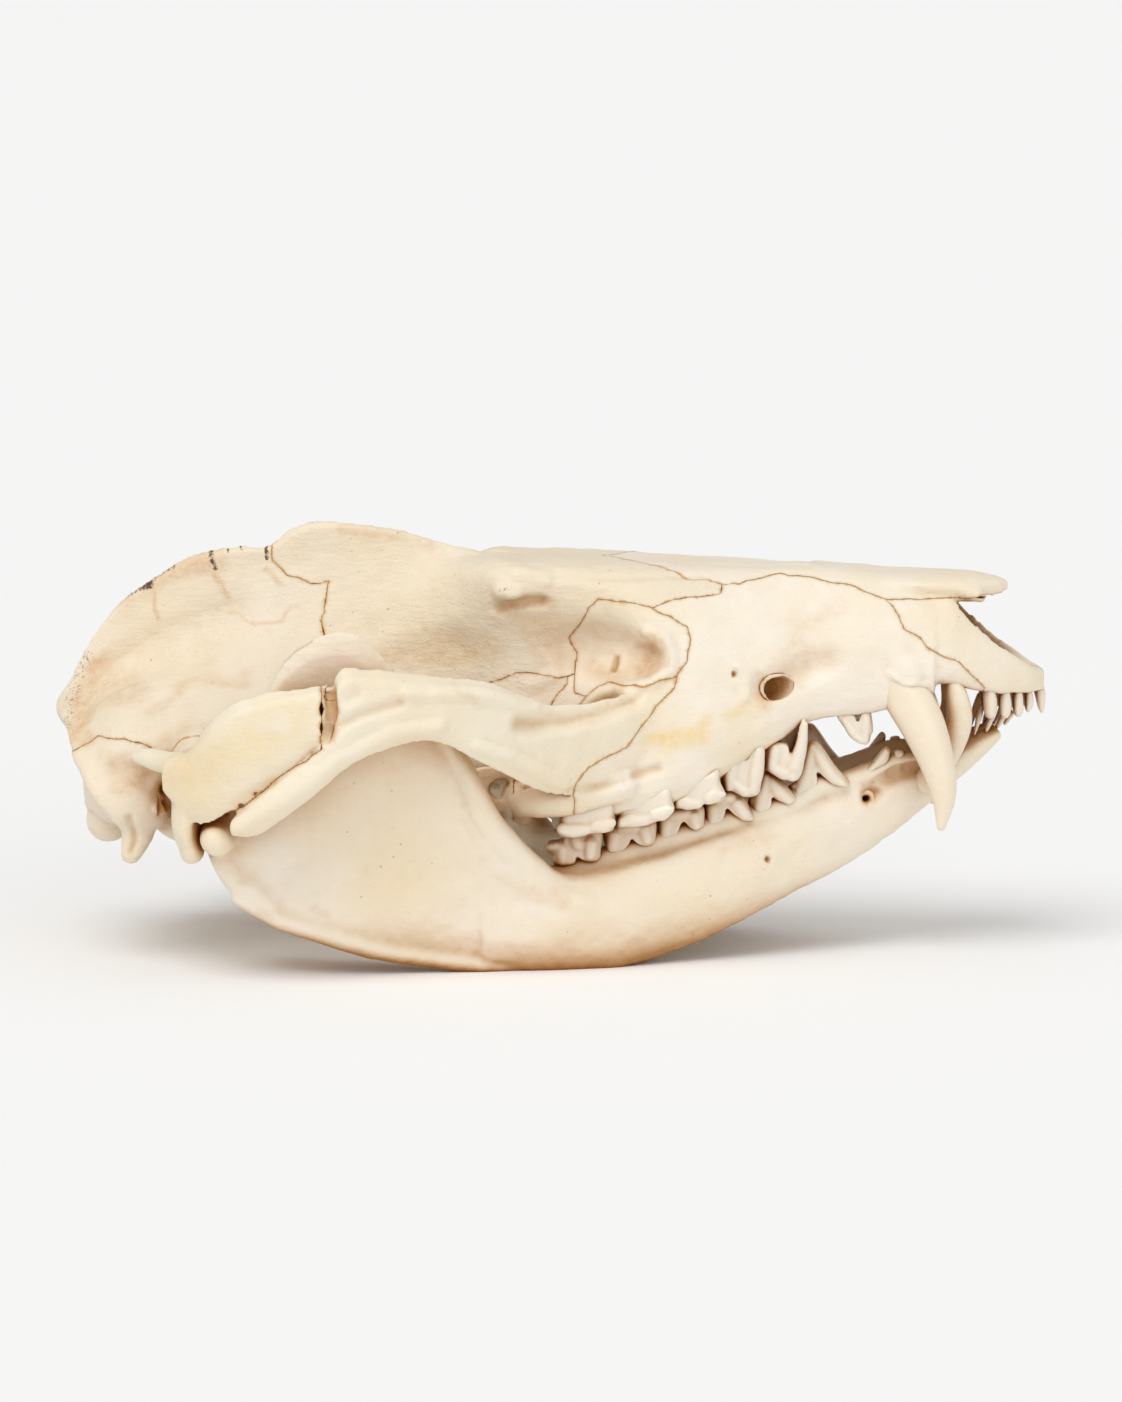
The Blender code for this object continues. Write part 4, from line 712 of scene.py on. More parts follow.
# Painted shade deep inside the skull: how far a surface looks for others, in metres.
DEEP_SHADE_REACH = 0.013
OCCLUSION_SAMPLES = 6
SEAM_SPREAD = 2


# Modelling helpers.


def start_clean():
    """Leaves edit mode and drops the selection, so that the next operator acts on its own piece alone."""
    if bpy.context.mode != "OBJECT":
        bpy.ops.object.mode_set(mode="OBJECT")
    bpy.ops.object.select_all(action="DESELECT")


def select_only(obj):
    start_clean()
    obj.select_set(True)
    bpy.context.view_layer.objects.active = obj


def curve_through(points, count):
    """Points spaced evenly along a smooth curve that passes through the given ones."""
    knots = np.array(points, dtype=float)
    padded = np.vstack([2 * knots[0] - knots[1], knots, 2 * knots[-1] - knots[-2]])
    found = []
    for place in np.linspace(0, len(knots) - 1 - 1e-9, count):
        span = int(place)
        found.append(spline_point(padded[span : span + 4], place - span))
    return np.array(found)


def closed_curve(points, per_span):
    """A smooth closed curve through the points, with per_span points from each to the next."""
    knots = np.array(points, dtype=float)
    found = []
    for span in range(len(knots)):
        around = knots[[(span + step - 1) % len(knots) for step in range(4)]]
        found += [spline_point(around, step / per_span) for step in range(per_span)]
    return np.array(found)


def spline_point(four, t):
    before, start, end, after = four
    return 0.5 * (
        2 * start
        + (end - before) * t
        + (2 * before - 5 * start + 4 * end - after) * t * t
        + (3 * start - before - 3 * end + after) * t**3
    )


def loft(name, rings):
    """A closed form through rings of equally many points: a disc, extruded once for each ring."""
    start_clean()
    sides = len(rings[0])
    bpy.ops.mesh.primitive_circle_add(vertices=sides, radius=1.0, fill_type="NGON")
    form = bpy.context.object
    form.name = name
    bpy.ops.object.mode_set(mode="EDIT")
    for _ in rings[1:]:
        bpy.ops.mesh.extrude_region_move(TRANSFORM_OT_translate={"value": (0.0, 0.0, 1.0)})
    bpy.ops.object.mode_set(mode="OBJECT")
    places = read_points(form) * MM
    ring = np.rint(places[:, 2]).astype(int)
    spoke = np.rint(np.arctan2(places[:, 1], places[:, 0]) / (2 * math.pi) * sides).astype(int) % sides
    write_points(form, np.array(rings, dtype=float)[ring, spoke])
    face_outward(form)
    return form


def face_outward(form):
    select_only(form)
    bpy.ops.object.mode_set(mode="EDIT")
    bpy.ops.mesh.select_all(action="SELECT")
    bpy.ops.mesh.normals_make_consistent(inside=False)
    bpy.ops.object.mode_set(mode="OBJECT")


def read_points(obj):
    flat = np.empty(len(obj.data.vertices) * 3, np.float32)
    obj.data.vertices.foreach_get("co", flat)
    return flat.reshape(-1, 3).astype(float) / MM


def read_normals(obj):
    flat = np.empty(len(obj.data.vertices) * 3, np.float32)
    obj.data.vertex_normals.foreach_get("vector", flat)
    return flat.reshape(-1, 3).astype(float)


def write_points(obj, points):
    obj.data.vertices.foreach_set("co", (points * MM).astype(np.float32).ravel())
    obj.data.update()


def read_edges(obj):
    flat = np.empty(len(obj.data.edges) * 2, np.int32)
    obj.data.edges.foreach_get("vertices", flat)
    return flat.reshape(-1, 2)


def read_layer(obj, name):
    values = np.empty(len(obj.data.vertices), np.float32)
    obj.data.attributes[name].data.foreach_get("value", values)
    return values.astype(float)


def write_layer(obj, name, values):
    """Stores one number for each point of the mesh, for the material to read."""
    layer = obj.data.attributes.get(name) or obj.data.attributes.new(name, "FLOAT", "POINT")
    layer.data.foreach_set("value", values.astype(np.float32))


def body_form(name, rows, rings, per_span=6):
    """A form of even left and right halves, from rows laid out as BODY's are."""
    sections = []
    for x, top, sh_y, sh_z, side_y, side_z, foot_y, foot_z, low in curve_through(rows, rings):
        half = [(sh_y, sh_z), (side_y, side_z), (foot_y, foot_z)]
        outline = [(0.0, top), *half, (0.0, low), *[(-y, z) for y, z in reversed(half)]]
        sections.append([(x, y, z) for y, z in closed_curve(outline, per_span)])
    return loft(name, sections)


def tube(name, points, radii, rings=16, sides=16):
    """A bar of round or oval section, with round ends. A radius may be a pair: along X, then across."""
    pairs = [(radius, radius) if isinstance(radius, float) else radius for radius in radii]
    middle = curve_through(points, rings)
    spread = curve_through(pairs, rings)
    sections = []
    for index, centre in enumerate(middle):
        along = Vector(middle[min(index + 1, rings - 1)] - middle[max(index - 1, 0)]).normalized()
        across = Vector((0.0, 1.0, 0.0)) if abs(along.y) < 0.8 else Vector((1.0, 0.0, 0.0))
        first = along.cross(across).normalized()
        second = along.cross(first).normalized()
        wide, deep = spread[index]
        ring = []
        for step in range(sides):
            turn = 2 * math.pi * step / sides
            ring.append(Vector(centre) + first * wide * math.cos(turn) + second * deep * math.sin(turn))
        sections.append(ring)
    round_ends(sections, middle, spread)
    return loft(name, sections)


def round_ends(sections, middle, spread):
    """Puts smaller rings beyond each end of a bar, as on a ball."""
    last = len(middle) - 1
    for end, inner in ((0, 1), (last, last - 1)):
        reach = Vector(middle[end] - middle[inner]).normalized() * float(spread[end].min())
        centre = Vector(middle[end])
        whole = list(sections[0 if end == 0 else -1])
        for turn in (35.0, 62.0, 82.0):
            share = math.cos(math.radians(turn))
            rise = reach * math.sin(math.radians(turn))
            ring = [centre + (Vector(p) - centre) * share + rise for p in whole]
            sections.insert(0 if end == 0 else len(sections), ring)


def plate(name, top, foot, thickness, rings=32, across=9):
    """A plate between two rails, as thick as asked in the middle and rounded at both rails."""
    upper = curve_through(top, rings)
    lower = curve_through(foot, rings)
    sections = []
    for index in range(rings):
        step = min(index + 1, rings - 1), max(index - 1, 0)
        along = Vector(upper[step[0]] + lower[step[0]] - upper[step[1]] - lower[step[1]]).normalized()
        drop = Vector(upper[index] - lower[index])
        outward = along.cross(drop).normalized()
        thick = thickness if isinstance(thickness, float) else width_at(thickness, upper[index][0])
        near, far = [], []
        for part in range(across):
            share = part / (across - 1)
            swell = 0.5 * thick * (1 - (2 * share - 1) ** 4 * 0.62)
            point = Vector(lower[index]) + drop * share
            near.append(point + outward * swell)
            far.append(point - outward * swell)
        sections.append(near + far[::-1])
    return loft(name, sections)


def width_at(rows, x):
    stations, widths = zip(*rows)
    return float(np.interp(x, stations, widths))


def ball(name, centre, radii):
    start_clean()
    bpy.ops.mesh.primitive_uv_sphere_add(
        segments=32, ring_count=18, radius=1.0, location=Vector(centre) * MM, scale=Vector(radii) * MM
    )
    form = bpy.context.object
    form.name = name
    bpy.ops.object.transform_apply(location=True, rotation=True, scale=True)
    return form


def box(name, low, high):
    middle = [(a + b) / 2 * MM for a, b in zip(low, high)]
    size = [(b - a) * MM for a, b in zip(low, high)]
    start_clean()
    bpy.ops.mesh.primitive_cube_add(size=1.0, location=middle, scale=size)
    form = bpy.context.object
    form.name = name
    bpy.ops.object.transform_apply(location=True, rotation=True, scale=True)
    return form


def copy_of(obj, name):
    select_only(obj)
    bpy.ops.object.duplicate()
    made = bpy.context.object
    made.name = name
    return made


def apply(obj, kind, **values):
    """Adds one modifier with the given settings and applies it."""
    select_only(obj)
    modifier = obj.modifiers.new(kind.title(), kind)
    for name, value in values.items():
        setattr(modifier, name, value)
    bpy.ops.object.modifier_apply(modifier=modifier.name)


def both_sides(obj):
    """Adds the form's mirror image across the middle of the head."""
    apply(obj, "MIRROR", use_axis=(False, True, False), use_mirror_merge=False)
    return obj


def to_other_side(obj):
    """Moves the form to where its mirror image would be."""
    select_only(obj)
    bpy.ops.object.mode_set(mode="EDIT")
    bpy.ops.mesh.select_all(action="SELECT")
    bpy.ops.transform.resize(value=(1.0, -1.0, 1.0), center_override=(0.0, 0.0, 0.0))
    bpy.ops.mesh.flip_normals()
    bpy.ops.object.mode_set(mode="OBJECT")
    return obj


def remove(obj):
    bpy.data.objects.remove(obj, do_unlink=True)


def join(name, forms):
    start_clean()
    for form in forms:
        form.select_set(True)
    bpy.context.view_layer.objects.active = forms[0]
    if len(forms) > 1:
        bpy.ops.object.join()
    whole = bpy.context.object
    whole.name = name
    return whole


def cut(obj, tool, operation="DIFFERENCE", solver="MANIFOLD"):
    apply(obj, "BOOLEAN", operation=operation, solver=solver, object=tool)
    remove(tool)


def fuse(whole, fineness, passes, factor=0.5):
    """Grows overlapping forms into one skin of even small facets, and softens it."""
    apply(whole, "REMESH", mode="VOXEL", voxel_size=fineness)
    apply(whole, "SMOOTH", factor=factor, iterations=passes)
    return whole


def keep_largest(obj):
    """Deletes every loose body of the mesh but the one with most points."""
    select_only(obj)
    before = set(bpy.context.scene.objects)
    bpy.ops.object.mode_set(mode="EDIT")
    bpy.ops.mesh.select_all(action="SELECT")
    bpy.ops.mesh.separate(type="LOOSE")
    bpy.ops.object.mode_set(mode="OBJECT")
    bodies = [obj, *(set(bpy.context.scene.objects) - before)]
    bodies.sort(key=lambda body: len(body.data.vertices))
    name, kept = obj.name, bodies.pop()
    for body in bodies:
        remove(body)
    kept.name = name
    return kept


# Relief, worked out for all points of a mesh at once.


def lattice_noise(points, size, seed):
    """Smooth noise between -1 and 1 whose lumps are about as large as size."""
    place = points / size
    corner = np.floor(place).astype(np.int64)
    t = place - corner
    t = t * t * (3 - 2 * t)
    total = np.zeros(len(points))
    for dx in (0, 1):
        for dy in (0, 1):
            for dz in (0, 1):
                weight = (t[:, 0] if dx else 1 - t[:, 0]) * (t[:, 1] if dy else 1 - t[:, 1])
                weight = weight * (t[:, 2] if dz else 1 - t[:, 2])
                total += weight * hashed(corner[:, 0] + dx, corner[:, 1] + dy, corner[:, 2] + dz, seed)
    return total


def hashed(i, j, k, seed):
    mixed = (i * 73856093) ^ (j * 19349663) ^ (k * 83492791) ^ (seed * 2654435)
    mixed = (mixed ^ (mixed >> 13)) * 1274126177
    return ((mixed ^ (mixed >> 16)) & 0xFFFF) / 32767.5 - 1.0


def distance_to_path(points, path):
    """Distance of each point from a bent line, in as many dimensions as the line has."""
    path = np.array(path, dtype=float)
    best = np.full(len(points), np.inf)
    for start, end in zip(path, path[1:]):
        along = end - start
        share = np.clip((points - start) @ along / max(along @ along, 1e-9), 0.0, 1.0)
        best = np.minimum(best, np.linalg.norm(points - start - share[:, None] * along, axis=1))
    return best


def neighbour_means(points, edges):
    count = np.bincount(edges.ravel(), minlength=len(points)).clip(1)
    total = np.empty_like(points)
    for axis in range(points.shape[1]):
        column = points[:, axis]
        total[:, axis] = np.bincount(edges[:, 0], column[edges[:, 1]], len(points))
        total[:, axis] += np.bincount(edges[:, 1], column[edges[:, 0]], len(points))
    return total / count[:, None]


def hollowness(obj, passes):
    """How deep each point lies below its softened surroundings, in millimetres."""
    edges = read_edges(obj)
    points = read_points(obj)
    soft = points
    for _ in range(passes):
        soft = neighbour_means(soft, edges)
    return ((soft - points) * read_normals(obj)).sum(axis=1)


def stroke_share(points, stroke):
    """How strongly each point belongs to a stroke, from 0 outside its width to 1 along its line."""
    path, (inner, outer), width = stroke[:3]
    side = np.abs(points[:, 1])
    path = np.array(path, dtype=float)
    flat = points[:, (0, 2)]
    within = (side > inner) & (side < outer)
    within &= ((flat > path.min(axis=0) - width) & (flat < path.max(axis=0) + width)).all(axis=1)
    share = np.zeros(len(points))
    reach = distance_to_path(flat[within], path) / width
    edge = np.clip(np.minimum(side[within] - inner, outer - side[within]) / 1.0, 0.0, 1.0)
    if inner == 0.0:
        edge = np.ones(len(reach))
    share[within] = np.clip(1 - reach**2, 0.0, 1.0) ** 2 * edge
    return share


def outward_share(points, normals):
    """1 where the surface looks away from the middle of the head or up, and 0 where it looks inward."""
    return np.clip(0.35 + normals[:, 1] * np.sign(points[:, 1]) + 0.5 * normals[:, 2], 0.0, 1.0)


def give_relief(whole, strokes, soft):
    """Evens out the joins of the forms, then raises ridges, sinks grooves and roughens the surface."""
    edges = read_edges(whole)
    points = read_points(whole)
    for path, sides, width, passes in soft:
        share = stroke_share(points, (path, sides, width))[:, None]
        near = np.flatnonzero(share[:, 0] > 0)
        joined = edges[np.isin(edges, near).all(axis=1)]
        place = np.full(len(points), -1)
        place[near] = np.arange(len(near))
        local, joined, share = points[near], place[joined], share[near]
        kept = np.bincount(joined.ravel(), minlength=len(near))
        inside = kept == np.bincount(edges.ravel(), minlength=len(points))[near]
        share = share * inside[:, None]
        for _ in range(passes):
            local = local + share * (neighbour_means(local, joined) - local)
        points[near] = local
    write_points(whole, points)
    normals = read_normals(whole)
    outward = outward_share(points, normals)
    shift = np.zeros(len(points))
    for stroke in strokes:
        shift += stroke[3] * stroke_share(points, stroke) * outward
    for index, (size, height) in enumerate(ROUGHNESS):
        shift += height * lattice_noise(points + NOISE_START, size, 31 + index)
    points = points + normals * shift[:, None]
    write_points(whole, points)
    write_layer(whole, "skin", np.ones(len(points)))
    write_layer(whole, "hollow", hollowness(whole, 14))
    bend = np.stack([lattice_noise(points + NOISE_START, STAIN_LUMP, seed) for seed in (61, 62, 63)], axis=1)
    # The stain layer holds real stains and also painted shade in some pits, grooves and holes.
    for name, spots, bent in (("stain_and_painted_shade", STAINS_AND_PAINTED_SHADE, 1.0), ("yellow", YELLOWS, 1.0), ("soot", SOOTS, 0.25)):
        total = np.zeros(len(points))
        for spot in spots:
            total = np.maximum(total, spot[3] * stroke_share(points + STAIN_BEND * bent * bend, spot))
        write_layer(whole, name, total)


# Materials.


def add_node(tree, kind, inputs=(), **settings):
    node = tree.nodes.new(kind)
    for name, value in settings.items():
        setattr(node, name, value)
    for socket, value in dict(inputs).items():
        if isinstance(value, bpy.types.NodeSocket):
            tree.links.new(value, node.inputs[socket])
        else:
            node.inputs[socket].default_value = value
    return node


def mix_colour(tree, share, first, second, blend="MIX"):
    node = add_node(tree, "ShaderNodeMix", data_type="RGBA", blend_type=blend)
    for index, value in ((0, share), (6, first), (7, second)):
        if isinstance(value, bpy.types.NodeSocket):
            tree.links.new(value, node.inputs[index])
        else:
            node.inputs[index].default_value = value
    return node.outputs[2]


def to_range(tree, value, low, high, out_low=0.0, out_high=1.0):
    return add_node(
        tree, "ShaderNodeMapRange",
        {"Value": value, "From Min": low, "From Max": high, "To Min": out_low, "To Max": out_high},
    ).outputs["Result"]


def mix_value(tree, share, first, second):
    return add_node(tree, "ShaderNodeMix", {0: share, 2: first, 3: second}).outputs[0]


def math_node(tree, operation, first, second):
    return add_node(tree, "ShaderNodeMath", {0: first, 1: second}, operation=operation).outputs[0]


def noise_node(tree, place, scale, detail=4.0, roughness=0.55):
    inputs = {"Vector": place, "Scale": scale, "Detail": detail, "Roughness": roughness}
    return add_node(tree, "ShaderNodeTexNoise", inputs).outputs["Fac"]


def millimetre_place(tree):
    """The place on the object in millimetres."""
    place = add_node(tree, "ShaderNodeTexCoord").outputs["Object"]
    inputs = {"Vector": place, "Scale": (1 / MM, 1 / MM, 1 / MM)}
    return add_node(tree, "ShaderNodeMapping", inputs).outputs[0]


def tinted(tree, share, colour, tint):
    """The colour, darkened by the tint where the share is 1."""
    return mix_colour(tree, share, colour, colour4(tint), "MULTIPLY")


def attribute(tree, name):
    return add_node(tree, "ShaderNodeAttribute", attribute_name=name).outputs["Fac"]


def colour4(colour):
    return (*colour, 1.0)


def paint_occlusion_shade(tree, look, colour, crevice, tint):
    """Paints shade into the colour: brown in narrow crevices, amber deeper inside the skull, and near black
    where hardly any light reaches.
    """
    narrow = add_node(tree, "ShaderNodeAmbientOcclusion", {"Distance": crevice}, samples=OCCLUSION_SAMPLES)
    wide = add_node(tree, "ShaderNodeAmbientOcclusion", {"Distance": DEEP_SHADE_REACH}, samples=OCCLUSION_SAMPLES)
    # Painted shade: amber where the wide look finds the bone shut in, then near black where it is shut in
    # more.
    deep = to_range(tree, wide.outputs["AO"], *AMBER_SHADE_RANGE)
    colour = mix_colour(tree, deep, colour, colour4(look.amber_shade_colour), "MULTIPLY")
    deep_shade_share = to_range(tree, wide.outputs["AO"], *DEEP_SHADE_RANGE)
    colour = mix_colour(tree, deep_shade_share, colour, colour4(look.deep_shade_colour))
    # Painted shade in narrow crevices, between bones and where teeth meet bone.
    crevice_shade_share = to_range(tree, narrow.outputs["AO"], *CREVICE_SHADE_RANGE)
    return mix_colour(tree, crevice_shade_share, colour, colour4(tint), "MULTIPLY")


def bone_material(name, look, tone, roughness, grain):
    """Cleaned bone: ivory with warmer clouds, ochre in its hollows, brown along seams, fine pores, and
    painted shade in its crevices and deep inside the skull.
    """
    material = bpy.data.materials.new(name)
    material.use_nodes = True
    tree = material.node_tree
    shader = tree.nodes["Principled BSDF"]
    place = millimetre_place(tree)
    fibre_place = add_node(tree, "ShaderNodeMapping", {"Vector": place, "Scale": (0.22, 1.0, 1.0)}).outputs[0]

    clouds = noise_node(tree, place, 0.07, 5.0, 0.6)
    blotches = noise_node(tree, place, 0.28, 4.0, 0.6)
    fibres = noise_node(tree, fibre_place, 1.6, 3.0, 0.6)
    grains = noise_node(tree, place, 2.6, 3.0, 0.6)
    mottle = noise_node(tree, place, 0.9, 4.0, 0.65)
    cells = add_node(tree, "ShaderNodeTexVoronoi", {"Vector": place, "Scale": 0.55}, feature="F1")
    pores = cells.outputs["Distance"]
    hollow = attribute(tree, "hollow")

    colour = mix_colour(tree, to_range(tree, clouds, 0.35, 0.7), colour4(tone), colour4(look.warm_colour))
    pale = to_range(tree, blotches, 0.45, 0.75, 0.0, 0.35)
    colour = mix_colour(tree, pale, colour, colour4(look.pale_colour))
    colour = tinted(tree, to_range(tree, hollow, 0.02, 0.5, 0.0, 0.75), colour, look.ochre_colour)
    # The stain layer tints real stains and also paints shade into some pits, grooves and holes.
    for name, (low, high, weak, strong), tint in (
        ("yellow", (0.3, 0.6, 0.5, 1.0), look.yellow_colour),
        ("stain_and_painted_shade", (0.35, 0.65, 0.25, 0.8), look.rust_and_crevice_shade_colour),
        ("seam", (0.35, 0.6, 0.5, 2.0), look.rust_and_crevice_shade_colour),
    ):
        patchy = to_range(tree, mottle, low, high, weak, strong)
        patchy = math_node(tree, "MULTIPLY", attribute(tree, name), patchy)
        colour = tinted(tree, math_node(tree, "MINIMUM", patchy, 0.9), colour, tint)
    speck = to_range(tree, pores, 0.03, 0.08, 1.0, 0.0)
    speck = math_node(tree, "MULTIPLY", speck, to_range(tree, clouds, 0.5, 0.62, 0.0, 0.7))
    colour = tinted(tree, speck, colour, look.stain_and_crevice_shade_colour)
    sooty = math_node(tree, "ADD", attribute(tree, "soot"), to_range(tree, grains, 0.2, 0.8, -0.45, 0.45))
    colour = mix_colour(tree, to_range(tree, sooty, 0.45, 0.8), colour, colour4(look.soot_colour))
    # Painted shade: amber and near black deep inside the skull, rust brown in narrow crevices.
    colour = paint_occlusion_shade(tree, look, colour, BONE_CREVICE, look.rust_and_crevice_shade_colour)
    tree.links.new(colour, shader.inputs["Base Color"])

    rough = to_range(tree, blotches, 0.3, 0.7, roughness - 0.05, roughness + 0.08)
    tree.links.new(rough, shader.inputs["Roughness"])
    height = mix_value(tree, 0.4, fibres, grains)
    height = math_node(tree, "SUBTRACT", height, math_node(tree, "MULTIPLY", speck, 0.8))
    bump = add_node(tree, "ShaderNodeBump", {"Height": height, "Strength": grain, "Distance": BONE_GRAIN})
    tree.links.new(bump.outputs["Normal"], shader.inputs["Normal"])
    shader.inputs["Subsurface Weight"].default_value = 0.12
    shader.inputs["Subsurface Radius"].default_value = (1.0, 0.6, 0.35)
    shader.inputs["Subsurface Scale"].default_value = 0.0012
    shader.inputs["Specular IOR Level"].default_value = 0.4
    return material


def tooth_material(name, look, crown, root, roughness):
    """Enamel, glossy and pale, that turns yellow towards the gum line, with painted shade in brown at its
    very edge, where it meets the bone.
    """
    material = bpy.data.materials.new(name)
    material.use_nodes = True
    tree = material.node_tree
    shader = tree.nodes["Principled BSDF"]
    place = millimetre_place(tree)
    clouds = noise_node(tree, place, 0.35, 4.0, 0.6)
    grains = noise_node(tree, place, 3.2, 2.0, 0.5)
    hollow = attribute(tree, "hollow")
    gum = attribute(tree, "gum")
    cloudy = to_range(tree, clouds, 0.45, 0.75, 0.0, 0.3)
    yellow = math_node(tree, "ADD", math_node(tree, "MULTIPLY", gum, 0.7), cloudy)
    colour = mix_colour(tree, yellow, colour4(crown), colour4(root))
    colour = tinted(tree, to_range(tree, hollow, 0.01, 0.15, 0.0, 0.7), colour, look.ochre_colour)
    # Painted shade: amber and near black deep inside the skull, brown where the teeth meet each other and the
    # bone.
    colour = paint_occlusion_shade(tree, look, colour, TOOTH_CREVICE, look.stain_and_crevice_shade_colour)
    tree.links.new(colour, shader.inputs["Base Color"])
    rough = to_range(tree, clouds, 0.3, 0.7, roughness - 0.04, roughness + 0.1)
    tree.links.new(rough, shader.inputs["Roughness"])
    bump = add_node(tree, "ShaderNodeBump", {"Height": grains, "Strength": 0.12, "Distance": 0.0001})
    tree.links.new(bump.outputs["Normal"], shader.inputs["Normal"])
    shader.inputs["Subsurface Weight"].default_value = 0.2
    shader.inputs["Subsurface Radius"].default_value = (1.0, 0.75, 0.5)
    shader.inputs["Subsurface Scale"].default_value = 0.0012
    shader.inputs["Coat Weight"].default_value = 0.15
    shader.inputs["Coat Roughness"].default_value = 0.15
    return material


def finished_material(kind):
    """The material of that kind, made when it is first asked for."""
    found = bpy.data.materials.get(kind)
    if found:
        return found
    look = bpy.context.scene.skull_look
    if kind == "Braincase bone":
        return bone_material(kind, look, look.bone_colour, 0.5, 0.7)
    if kind == "Face bone":
        return bone_material(kind, look, look.pale_colour, 0.45, 0.5)
    if kind == "Cheek bone":
        return bone_material(kind, look, look.cheek_colour, 0.48, 0.45)
    if kind == "Tooth enamel":
        return tooth_material(kind, look, look.enamel_colour, look.dentine_colour, 0.22)
    if kind == "Canine ivory":
        return tooth_material(kind, look, look.canine_colour, look.dentine_colour, 0.26)
    raise ValueError(f"there is no finish called {kind}")


def finish(piece, name, kind, nodes):
    """Names the piece, gives it its material and rides it in place of its node of the frame."""
    piece.name = name
    piece.data.name = name
    piece.data.materials.clear()
    piece.data.materials.append(finished_material(kind))
    select_only(piece)
    bpy.ops.object.shade_smooth()
    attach(piece, "root")
    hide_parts(*nodes)
    return piece


# Teeth.


def tooth(row, fineness):
    """One tooth: a slab of its outline with bars along its outer face, fused and softened."""
    face, breadth, outline, bars = row
    flat = closed_curve(outline, 4)
    middle = flat.mean(axis=0)
    rings = []
    for share, width in TOOTH_SLAB:
        rings.append([(x, -(face - breadth * share), z) for x, z in middle + (flat - middle) * width])
    forms = [loft("Slab", rings)]
    for bar in bars:
        points = [(x, -(face - radius * BAR_DEPTH), z) for x, z, radius in bar]
        forms.append(tube("Bar", points, [radius * BAR_WIDTH for _, _, radius in bar], 5 * len(bar), 16))
    whole = join("Tooth", forms)
    fuse(whole, fineness, TOOTH_SMOOTHING)
    return whole


def tooth_row(name, rows, fineness):
    return join(name, [tooth(row, fineness) for row in rows])


def paint_teeth(piece):
    write_layer(piece, "hollow", hollowness(piece, 6))
    write_layer(piece, "gum", np.zeros(len(piece.data.vertices)))


# Cranium.


def build_cranium(fineness):
    body = body_form("Body", BODY, 60)
    muzzle = body_form("Muzzle", MUZZLE, 20)
    hollow = body_form("Hollow", NOSE_HOLLOW, 20)
    forms = [body, muzzle, crest_plate(), nose_roof()]
    paired = [
        tube("Nuchal", NUCHAL_EDGE, (NUCHAL_RADIUS,) * len(NUCHAL_EDGE), 24),
        plate("NuchalFlank", NUCHAL_EDGE[1:], nuchal_foot(), 2.6, 18),
        ball("NuchalFill", *NUCHAL_FILL),
        ball("Condyle", *CONDYLE),
        ball("Mastoid", *MASTOID),
        ball("Ear", *EAR_CAPSULE),
        tube("Paroccipital", PAROCCIPITAL, PAROCCIPITAL_RADII, 12),
        plate("Squamosal", SQUAMOSAL_TOP, SQUAMOSAL_FOOT, SQUAMOSAL_THICKNESS),
        tube("Spine", SPINE, SPINE_RADII, 12),
        tube("Glenoid", GLENOID_ROOT, GLENOID_RADII, 14),
        tube("Postglenoid", POSTGLENOID, POSTGLENOID_RADII, 12),
        tube("PalateEdge", PALATE_EDGE, PALATE_EDGE_RADII, 14),
        tube("Tuberosity", TUBEROSITY, TUBEROSITY_RADII, 14),
        plate("Jugal", JUGAL_TOP, JUGAL_FOOT, JUGAL_THICKNESS, 48),
        tube("CanineRoot", CANINE_ROOT, CANINE_ROOT_RADII, 14),
        tube("NoseLobe", NOSE_LOBE, NOSE_LOBE_RADII, 10),
    ]
    wing = loft("Wing", [[(x, y, z) for x, z in closed_curve(PALATE_WING, 4)] for y in PALATE_WING_SIDES])
    cut(wing, ball("WingHole", *PALATE_HOLE), solver="EXACT")
    paired.append(wing)
    cut(body, both_sides(ball("Orbit", *ORBIT)), solver="EXACT")
    cut(body, both_sides(ball("OrbitPit", *ORBIT_PIT)), solver="EXACT")
    cut(body, both_sides(tube("CheekCanal", CHEEK_CANAL, CHEEK_CANAL_RADII, 14)), solver="EXACT")
    cut(body, ball("Foramen", *FORAMEN_MAGNUM), solver="EXACT")
    for form in (body, muzzle):
        cut(form, copy_of(hollow, "HollowCopy"), solver="EXACT")
    remove(hollow)
    pair = both_sides(join("Paired", paired))
    whole = join("Cranium", [*forms, pair])
    fuse(whole, fineness, 4)
    whole = keep_largest(whole)
    give_relief(whole, CRANIUM_RELIEF, CRANIUM_SOFT)
    return whole


def crest_plate():
    upper = curve_through([(x, 0.0, z) for x, z in CREST_EDGE], 60)
    lower = curve_through([(x, 0.0, z) for x, z in CREST_FOOT], 60)
    sections = []
    for top, low in zip(upper, lower):
        near = []
        for share in (0.0, 0.2, 0.4, 0.6, 0.8, 0.94, 1.0):
            point = low + (top - low) * share
            thick = CREST_THICKNESS + (CREST_FOOT_THICKNESS - CREST_THICKNESS) * (1 - share) ** 2.5
            if share == 1.0:
                thick *= 0.5
            near.append((point[0], thick / 2, point[2]))
        sections.append(near + [(x, -y, z) for x, y, z in reversed(near)])
    return loft("Crest", sections)


def nuchal_foot():
    """Where the crest across the back of the head grows out of the braincase, inside its skin."""
    return [(x + 4.0, y * 0.62, z - 1.0) for x, y, z in NUCHAL_EDGE[1:]]


def nose_roof():
    sections = []
    for x, half, height, thick in curve_through(NOSE_ROOF, 20):
        arch = [(x, half * math.sin(turn), height - half * 0.32 * (1 - math.cos(turn)))
                for turn in np.linspace(-math.pi / 2, math.pi / 2, 15)]
        under = [(px, py * 0.82, pz - thick) for px, py, pz in reversed(arch)]
        sections.append(arch + under)
    return loft("NoseRoof", sections)


